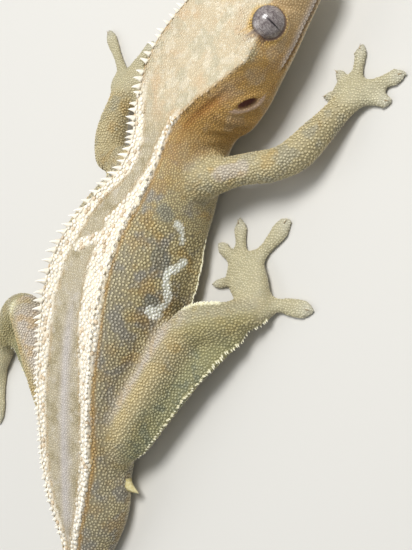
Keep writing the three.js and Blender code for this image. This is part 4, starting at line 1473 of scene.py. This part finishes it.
# %% Places on the finished skin
skin_points = vertices_of(skin.data)
skin_normals = normals_of(skin.data)
skin_faces = [p.vertices for p in skin.data.polygons]
skin_tree = BVHTree.FromPolygons([v.co for v in skin.data.vertices], skin_faces)
vertex_tree = KDTree(len(skin_points))
for i, place in enumerate(skin_points):
    vertex_tree.insert(place, i)
vertex_tree.balance()
corner_vertex = np.empty(len(skin.data.loops), np.int32)
skin.data.loops.foreach_get("vertex_index", corner_vertex)
vertex_patch = np.zeros((len(skin_points), 2))
vertex_patch[corner_vertex] = read_layer(skin.data, "OFBake")


def on_skin(places_mm):
    """The nearest places on the skin."""
    return np.array([skin_tree.find_nearest(Vector(p) * MM)[0] for p in places_mm]) / MM


def cast_at_skin(outside_mm, towards):
    """Where a ray from outside meets the skin, or None."""
    hit = skin_tree.ray_cast(Vector(outside_mm) * MM, Vector(towards))[0]
    return None if hit is None else np.array(hit) / MM


def body_frame(run, turn):
    """At a distance from the snout: step and place on the body's line, outwards to one side, and ahead."""
    step = int(np.searchsorted(LINE_DISTANCE, run))
    aside = np.array([*LINE_RIGHT[step], 0.0]) * turn
    return step, LINE_XY[step], aside, np.array([*LINE_AHEAD[step], 0.0])


def found_at(places_mm):
    """The skin's own layers at some places on it."""
    index = np.array([vertex_tree.find(p)[1] for p in places_mm])
    found = {"place": np.array(places_mm), "facing": skin_normals[index], "lie": lie[index]}
    found["OFBake"] = vertex_patch[index]
    found.update({name: marks[name][index] for name in marks})
    return found


SPINE_LEAN = 0.12


def grow_spines(name, places_mm, directions, widths, lengths, colours, sink=0.1):
    """Spines on some places of the skin, each with its own direction, width and length."""
    places_mm, directions = np.array(places_mm), unit(np.array(directions))
    found = found_at(places_mm)
    for marking_name in marks:
        found[marking_name] = np.full(len(places_mm), colours.get(marking_name, 0.0))
    axes = frames_on(directions, found["lie"], np.full(len(places_mm), SPINE_LEAN))
    widths, lengths = np.array(widths), np.array(lengths)
    sizes = np.column_stack([widths, widths * 1.25, lengths])
    obj = build_mesh(name, *tile(SPINE, places_mm - directions * sink, axes, sizes))
    dress(obj, SPINE, found, random_source.uniform(0.3, 1, len(places_mm)))
    coat.append(obj)
    print(name, len(places_mm), "spines")


# %% The crests
# Along the body: the distance from the snout, the spacing and the length of the spines.
CREST_RUN = [15, 20, 25, 34, 44, 50, 57, 66, 80, 88, 95, 129]
CREST_SPACING = [1.3, 1.5, 1.7, 1.2, 1.15, 1.4, 1.75, 1.95, 1.8, 1.3, 1.1, 1.0]
CREST_LENGTH = [0.5, 0.8, 1.3, 1.5, 1.5, 1.4, 1.75, 1.9, 1.7, 1.3, 0.75, 0.5]


# Where the head's spines end, and where those of its right side turn from gold to cream.
HEAD_SPINES_END, GOLD_SPINES_END = 46, 44
CREST_SINK = 0.12


def spine_direction(run, side, aside, ahead):
    """Outwards, up and a little ahead. Over the head, the left spines lie flatter."""
    on_head = (1 - np.clip((run - 36) / 12, 0, 1)) * (side < 0)
    outwards = 0.74 + 0.22 * on_head if side < 0 else 0.5
    return aside * outwards + np.array([0, 0, 0.62 - 0.3 * on_head]) + ahead * 0.1


def side_length(run, side):
    """How much longer or shorter a spine is: those of the right side are low, and lowest on the head."""
    if side < 0:
        return 1.1
    return 0.4 if run < HEAD_SPINES_END else 0.7


def add_crests():
    """The two rows of spines, set one after another at the spacing of their place."""
    roots, directions, widths, lengths, creams, golds = [], [], [], [], [], []
    for side in (1, -1):
        run = CREST_RUN[0] + 0.4
        while run < CREST_RUN[-1]:
            step, middle, aside, ahead = body_frame(run, side)
            roots.append(np.array([*middle, LINE_TOP[step] - 0.2]) + aside * float(crest_half(step, side)))
            sway = random_source.normal(0, 0.07, 3)
            directions.append(spine_direction(run, side, aside, ahead) + sway)
            length = np.interp(run, CREST_RUN, CREST_LENGTH) * random_source.uniform(0.78, 1.18)
            length *= side_length(run, side)
            lengths.append(length + CREST_SINK)
            widths.append(0.27 + 0.22 * length + 0.2 * np.clip((run - 84) / 12, 0, 1))
            golden = side > 0 and run <= GOLD_SPINES_END
            creams.append(0.1 if golden else 1.0)
            golds.append(0.7 if golden else 0.2)
            run += np.interp(run, CREST_RUN, CREST_SPACING) * random_source.uniform(0.85, 1.15)
    colours = {"band": np.array(creams), "crown": 1.0, "band_edge": np.array(golds)}
    grow_spines("crest_spines", on_skin(roots), directions, widths, lengths, colours, CREST_SINK)


add_crests()

# %% Pointed scales along the thighs and flanks
# The free edge of the fold behind the right leg, in the picture, and the same edge on the left leg: a place
# on it and how far the fold reaches.
RIGHT_LEG_EDGE = [
    (134, 464), (150, 440), (165, 421), (180, 400), (200, 377), (222, 353), (240, 340), (255, 328), (265, 318)
]
LEFT_LEG_EDGE = [
    (-13.8, -35.0, 6.0, 4.0),
    (-20.6, -28.2, 6.4, 4.8),
    (-26.8, -22.6, 6.4, 4.8),
    (-32.4, -20.0, 5.4, 4.2),
    (-37.4, -20.0, 4.0, 2.6),
]
FRINGE_SPACING = 0.62
FLANK_FRINGE = (58, 97)
LEG_TOOTH, FLANK_TOOTH, TOOTH_HALF_WIDTH = 0.75, 0.8, 0.3


def smooth_row(corners, spacing):
    """Corners joined by straight runs and read at an even spacing, rounded a little."""
    corners = np.array(corners, float)
    run = np.concatenate([[0], np.cumsum(np.linalg.norm(np.diff(corners[:, :3], axis=0), axis=1))])
    at = np.arange(0, run[-1], spacing)
    row = np.column_stack([np.interp(at, run, corners[:, a]) for a in range(corners.shape[1])])
    for step in range(3):
        row[1:-1] = (row[:-2] + 2 * row[1:-1] + row[2:]) / 4
    return row


def level_rear(heading, turn):
    """The level direction across a limb's heading, turned to its rear edge."""
    return unit(np.column_stack([heading[:, 1], -heading[:, 0], np.zeros(len(heading))]) * turn)


def right_leg_teeth():
    """The places and directions of the teeth along the free edge that the picture shows."""
    edge, _ = skin_under(along_stroke(np.array(RIGHT_LEG_EDGE) + 1.5, 3.2), skin_points, skin_normals)
    heading = np.array([lie[vertex_tree.find(p)[1]] for p in edge])
    return list(edge), list(level_rear(heading, 1) * 0.9 + [0, 0, 0.35] + heading * 0.15)


def left_leg_teeth():
    """The places and directions of the teeth along the same edge of the left leg."""
    row = smooth_row(LEFT_LEG_EDGE, FRINGE_SPACING)
    middle = row[:, :3] + np.array(SHIFT)
    ahead = unit(np.gradient(middle, axis=0))
    rear = level_rear(ahead, -1)
    edge = on_skin(middle + rear * (row[:, 3:4] + 1.5) - [0, 0, 0.3])
    return list(edge), list(rear * 0.9 + [0, 0, 0.3] + ahead * 0.15)


def flank_teeth():
    """The places and directions of the teeth along the folds of both flanks."""
    roots, directions = [], []
    for turn in (1, -1):
        run = FLANK_FRINGE[0]
        while run < FLANK_FRINGE[1]:
            step, middle, aside, _ = body_frame(run, turn)
            place = cast_at_skin(np.array([*middle, FOLD_HEIGHT]) + aside * (LINE_WIDE[step] + 2), -aside)
            if place is not None:
                roots.append(place)
                directions.append(aside * 0.9 + [0, 0, 0.35])
            run += FRINGE_SPACING
    return roots, directions


def add_fringes():
    """Small pointed scales along the free edges of the skin behind the legs and along the flanks."""
    roots, directions, lengths = [], [], []
    rows = [(right_leg_teeth, LEG_TOOTH), (left_leg_teeth, LEG_TOOTH), (flank_teeth, FLANK_TOOTH)]
    for teeth, length in rows:
        places_found, ways = teeth()
        roots += places_found
        directions += ways
        lengths += [length] * len(places_found)
    lengths = np.array(lengths) * random_source.uniform(0.75, 1.2, len(lengths))
    widths = TOOTH_HALF_WIDTH * random_source.uniform(0.85, 1.2, len(lengths))
    grow_spines("fringe_scales", roots, directions, widths, lengths + 0.1, {"knee": 0.85, "limb": 0.6})


KNOB_SPACING_PIXELS, KNOB_HALF_WIDTH, KNOB_LENGTH = 2.4, 0.5, 0.55


def add_knee_knobs():
    """The row of fat pale scales along the front of the right shin."""
    roots, facing = skin_under(along_stroke(KNEE_RIDGE[0], KNOB_SPACING_PIXELS), skin_points, skin_normals)
    widths = KNOB_HALF_WIDTH * random_source.uniform(0.85, 1.15, len(roots))
    lengths = KNOB_LENGTH * random_source.uniform(0.85, 1.15, len(roots))
    grow_spines("knee_knobs", roots, unit(facing) + [0, 0, 0.35], widths, lengths, {"knee": 1.0})


add_fringes()
add_knee_knobs()

# %% [markdown]
# The eyes are the glossiest thing on the animal. A gecko has no lids: a clear scale covers the ball, and
# by day the pupil is a thin upright slit with wavy edges in a marbled silver iris. The ball is one smooth
# sphere. Its pattern is drawn on directions that are stored in the mesh: along the slit, across it and
# outwards.


# %% The eyes
# The ends of the right eye's slit in the picture.
SLIT_ENDS = [(267.0, 18.0), (280.5, 31.5)]


def on_ball(pixel, centre):
    """Where the line of sight through a pixel meets the ball, as a direction from its centre."""
    right, up, backward = view_axes()
    start = LOOK_AT + backward * DISTANCE
    focal = PIXELS_PER_MM * DISTANCE / MM
    across, down = pixel[0] - IMAGE_WIDTH / 2, pixel[1] - IMAGE_HEIGHT / 2
    sight = right * (across / focal) - up * (down / focal) - backward
    sight.normalize()
    offset = start - centre
    half = offset.dot(sight)
    root = half * half - offset.length_squared + (EYE_RADIUS * MM) ** 2
    return (offset + sight * (-half - math.sqrt(max(root, 0)))).normalized()


def gaze_axes(side):
    """Across the slit, along it and outwards, for one eye. The left eye mirrors the right one."""
    upper, lower = (on_ball(pixel, eye_centres["right"]) for pixel in SLIT_ENDS)
    outward = (upper + lower).normalized()
    along = (upper - lower).normalized()
    across = along.cross(outward)
    axes = [across, along, outward]
    if side == "left":
        axes = [axis - 2 * axis.dot(HEAD_RIGHT) * HEAD_RIGHT for axis in axes]
    return axes


def iris_material():
    """A wet clear scale over a marbled silver iris with a closed slit, darkened as painted shade away from
    the middle of the gaze.
    """
    material, tree = new_material("marbled_iris_under_clear_scale")
    gaze = add_node(tree, "ShaderNodeAttribute", {"attribute_name": "gaze"}).outputs["Vector"]
    parts = add_node(tree, "ShaderNodeSeparateXYZ", Vector=gaze)
    across, along, outward = (parts.outputs[i] for i in range(3))
    stretched = add_node(tree, "ShaderNodeMapping", Vector=gaze, Scale=(1.0, 0.55, 1.0)).outputs[0]
    swirl = {"Scale": 5.0, "Detail": 4.0, "Roughness": 0.65, "Distortion": 1.2}
    cloud = add_node(tree, "ShaderNodeTexNoise", Vector=stretched, **swirl).outputs["Fac"]
    to_edge = {"feature": "DISTANCE_TO_EDGE"}
    vein = add_node(tree, "ShaderNodeTexVoronoi", to_edge, Vector=stretched, Scale=7.0).outputs["Distance"]
    speckle = {"Scale": 26.0, "Detail": 4.0, "Roughness": 0.7}
    fine = add_node(tree, "ShaderNodeTexNoise", Vector=stretched, **speckle).outputs["Fac"]
    colour = mix(tree, remap(tree, cloud, 0.36, 0.66), linear("6C615F"), linear("A9A09C"))
    colour = mix(tree, remap(tree, fine, 0.5, 0.7, 0.0, 0.6), colour, linear("655A60"))
    colour = mix(tree, remap(tree, vein, 0.0, 0.06, 0.7, 0.0), colour, linear("4A3C3C"))
    # The slit is widest in the middle, and noise makes its edges wavy.
    half_width = calculate(tree, "MULTIPLY_ADD", calculate(tree, "MULTIPLY", along, along), -0.11, 0.034)
    ripple = add_node(tree, "ShaderNodeTexNoise", Vector=gaze, Scale=14.0, Detail=1.0).outputs["Fac"]
    wavy = calculate(tree, "ADD", half_width, calculate(tree, "MULTIPLY_ADD", ripple, 0.05, -0.025))
    beside_slit = calculate(tree, "SUBTRACT", calculate(tree, "ABSOLUTE", across), wavy)
    colour = mix(tree, remap(tree, beside_slit, 0.0, 0.11, 0.45, 0.0), colour, linear("5A4C50"))
    colour = mix(tree, remap(tree, beside_slit, -0.012, 0.012, 1.0, 0.0), colour, linear("0D0A0B"))
    # Painted shade: the ball darkens away from the middle of the gaze, towards where it goes under the skin.
    colour = mix(tree, remap(tree, outward, 0.12, 0.42, 0.9, 0.0), colour, linear("2B2022"))
    clear_scale = {"Coat Weight": 1.0, "Coat Roughness": 0.03, "Coat IOR": 1.45}
    surface(tree, colour, Roughness=0.35, IOR=1.38, **clear_scale)
    return material


# How far each eyeball sits in from the solid's own centre.
EYE_INWARD = 0.3


def add_eye(side, material):
    """One smooth ball, with its own directions stored in it for the pattern of the iris."""
    turn = 1 if side == "right" else -1
    centre = eye_centres[side] - HEAD_RIGHT * turn * EYE_INWARD * MM
    bpy.ops.object.select_all(action="DESELECT")
    bpy.ops.mesh.primitive_uv_sphere_add(segments=64, ring_count=32, radius=EYE_RADIUS * MM, location=centre)
    eye = bpy.context.object
    eye.name = "eyeball_" + side
    bpy.ops.object.transform_apply(location=True)
    bpy.ops.object.shade_smooth()
    directions = unit(vertices_of(eye.data) - np.array(centre) / MM)
    gaze = np.column_stack([directions @ np.array(axis) for axis in gaze_axes(side)])
    store(eye.data, "gaze", gaze, "FLOAT_VECTOR")
    eye.data.materials.append(material)
    return eye


iris = iris_material()
eyes = {side: add_eye(side, iris) for side in ("right", "left")}
print("eyes", [o.name for o in eyes.values()])

# %% The ring of scales round each eye
RING_ANGLE = OPENING + 0.05
RING_COUNT = 38
# A ring scale's length and half width, and how much longer and thinner the lashes above and behind the eye
# are.
RING_LENGTH, LASH_LENGTH, RING_WIDTH, LASH_THINNING = 0.34, 0.75, 0.25, 0.06


def add_eye_rings():
    """A row of small scales round the opening of each eye, longest as lashes above and behind it."""
    roots, directions, widths, lengths = [], [], [], []
    for side, centre in eye_centres.items():
        axis = eye_axis(side)
        first = (Vector((0, 0, 1)) - axis * axis.z).normalized()
        second = axis.cross(first)
        for k in range(RING_COUNT):
            turn = 2 * math.pi * k / RING_COUNT
            spoke = first * math.cos(turn) + second * math.sin(turn)
            outward = axis * math.cos(RING_ANGLE) + spoke * math.sin(RING_ANGLE)
            backwards = max(0.0, -spoke.dot(HEAD_AHEAD)) * max(0.0, spoke.z + 0.3)
            roots.append(np.array(centre) / MM + np.array(outward) * (EYE_RADIUS + 0.12))
            directions.append(np.array(outward * 0.75 + spoke * 0.5 - axis * 0.1))
            lengths.append((RING_LENGTH + LASH_LENGTH * backwards) * random_source.uniform(0.8, 1.2))
            widths.append(RING_WIDTH - LASH_THINNING * backwards)
    grow_spines("eye_ring_scales", roots, directions, widths, lengths, {"eye_ring": 0.85})


add_eye_rings()

# %% [markdown]
# The lips carry one row of larger flat scales above the line of the mouth and one below it. They are set
# by casting a ray at the side of the head at each step along the mouth, so that they follow the lips as
# they were pushed.

# %% The scales of the lips
LIP_SPACING = 0.8
# How far above and below the line of the mouth the rows are, and a scale's half width, half length, height.
LIP_ROWS = (0.62, -0.6)
LIP_SCALE = (0.36, 0.44, 0.17)
# Rays start this far out from the middle of the animal.
WELL_OUTSIDE = 16


def add_lip_scales():
    """One row of flat scales on the upper lip and one on the lower, on both sides."""
    roots = []
    for turn in (1, -1):
        for behind in np.arange(0.6, MOUTH_LENGTH - 1, LIP_SPACING):
            for rise in LIP_ROWS:
                middle = SNOUT_TIP - HEAD_AHEAD * behind
                outside = Vector((middle.x, middle.y, mouth_height(behind) + rise))
                place = cast_at_skin(outside + HEAD_RIGHT * turn * WELL_OUTSIDE, -HEAD_RIGHT * turn)
                if place is not None:
                    roots.append(place)
    found = found_at(roots)
    count = len(roots)
    found["lip"] = np.clip(found["lip"] + 0.35, 0, 1)
    axes = frames_on(found["facing"], found["lie"], np.full(count, 0.05))
    sizes = np.tile(LIP_SCALE, (count, 1))
    obj = build_mesh("lip_scales", *tile(BEAD, np.array(roots) - unit(found["facing"]) * 0.04, axes, sizes))
    dress(obj, BEAD, found, random_source.uniform(0.2, 0.9, count))
    coat.append(obj)
    print("lip_scales", count)


add_lip_scales()

# %% [markdown]
# Claws and spurs are bare horn. A claw stands at the tip of every toe, above its pad, and is as thin as a
# bristle. The two spurs beside the vent are blunt cream cones.


# %% Claws and spurs
def horn_material(name, pale, dark):
    """Polished horn, clouded between a pale and a dark colour."""
    material, tree = new_material(name)
    cloud = remap(tree, noise(tree, object_place(tree), 0.5, 2.0), 0.35, 0.65)
    polish = {"Coat Weight": 0.25, "Coat Roughness": 0.2}
    surface(tree, mix(tree, cloud, linear(pale), linear(dark)), Roughness=0.32, IOR=1.54, **polish)
    return material


def horn_piece(name, roots, directions, size, material):
    """Bare spines of one size, bent a little downwards."""
    count = len(roots)
    down = np.tile([0.0, 0.0, -1.0], (count, 1))
    axes = frames_on(unit(np.array(directions)), down, np.full(count, -0.1))
    obj = build_mesh(name, *tile(SPINE, np.array(roots), axes, np.tile(size, (count, 1))))
    obj.data.materials.append(material)
    return obj


# Half width, half depth and length.
CLAW_SIZE = (0.17, 0.17, 1.05)
SPUR_SIZE = (1.6, 1.6, 3.2)
CLAW_SINK, SPUR_SINK = 0.25, 0.5
SPUR_RUN, SPUR_HEIGHT = 116.5, 3.4


def add_claws():
    """A claw at the tip of every toe, where a ray from ahead of the toe meets its pad."""
    roots, directions = [], []
    for limb in LIMBS.values():
        for base_x, base_y, tip_x, tip_y, width in limb["toes"]:
            ahead = unit(np.array([tip_x - base_x, tip_y - base_y, 0.0]))
            tip = np.array([tip_x, tip_y, TOE_TIP_HEIGHT]) + np.array(SHIFT) + ahead * 1.5
            place = cast_at_skin(tip + ahead * 4, -ahead)
            place = tip if place is None else place
            roots.append(place - ahead * CLAW_SINK + [0, 0, 0.05])
            directions.append(ahead + [0, 0, 0.05])
    return horn_piece("claws", roots, directions, CLAW_SIZE, horn_material("claw_horn", "B9A684", "8C7757"))


def add_spurs():
    """A blunt spur on each side of the vent."""
    roots, directions = [], []
    for turn in (1, -1):
        _, middle, aside, ahead = body_frame(SPUR_RUN, turn)
        direction = aside - ahead * 0.45 - [0, 0, 0.05]
        place = cast_at_skin(np.array([*middle, SPUR_HEIGHT]) + aside * WELL_OUTSIDE, -aside)
        roots.append(place - unit(direction) * SPUR_SINK)
        directions.append(direction)
    return horn_piece("spurs", roots, directions, SPUR_SIZE, horn_material("spur_horn", "EADFAE", "D8C787"))


claws = add_claws()
spurs = add_spurs()
print("claws", len(claws.data.vertices), "vertices, spurs", len(spurs.data.vertices))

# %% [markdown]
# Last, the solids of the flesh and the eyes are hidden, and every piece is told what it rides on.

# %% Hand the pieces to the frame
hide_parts(*FLESH)
for piece in [skin, *coat]:
    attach(piece, "root")
for side, eye in eyes.items():
    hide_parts("eye_" + side)
    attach(eye, "root")
for piece in (claws, spurs):
    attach(piece, "root")
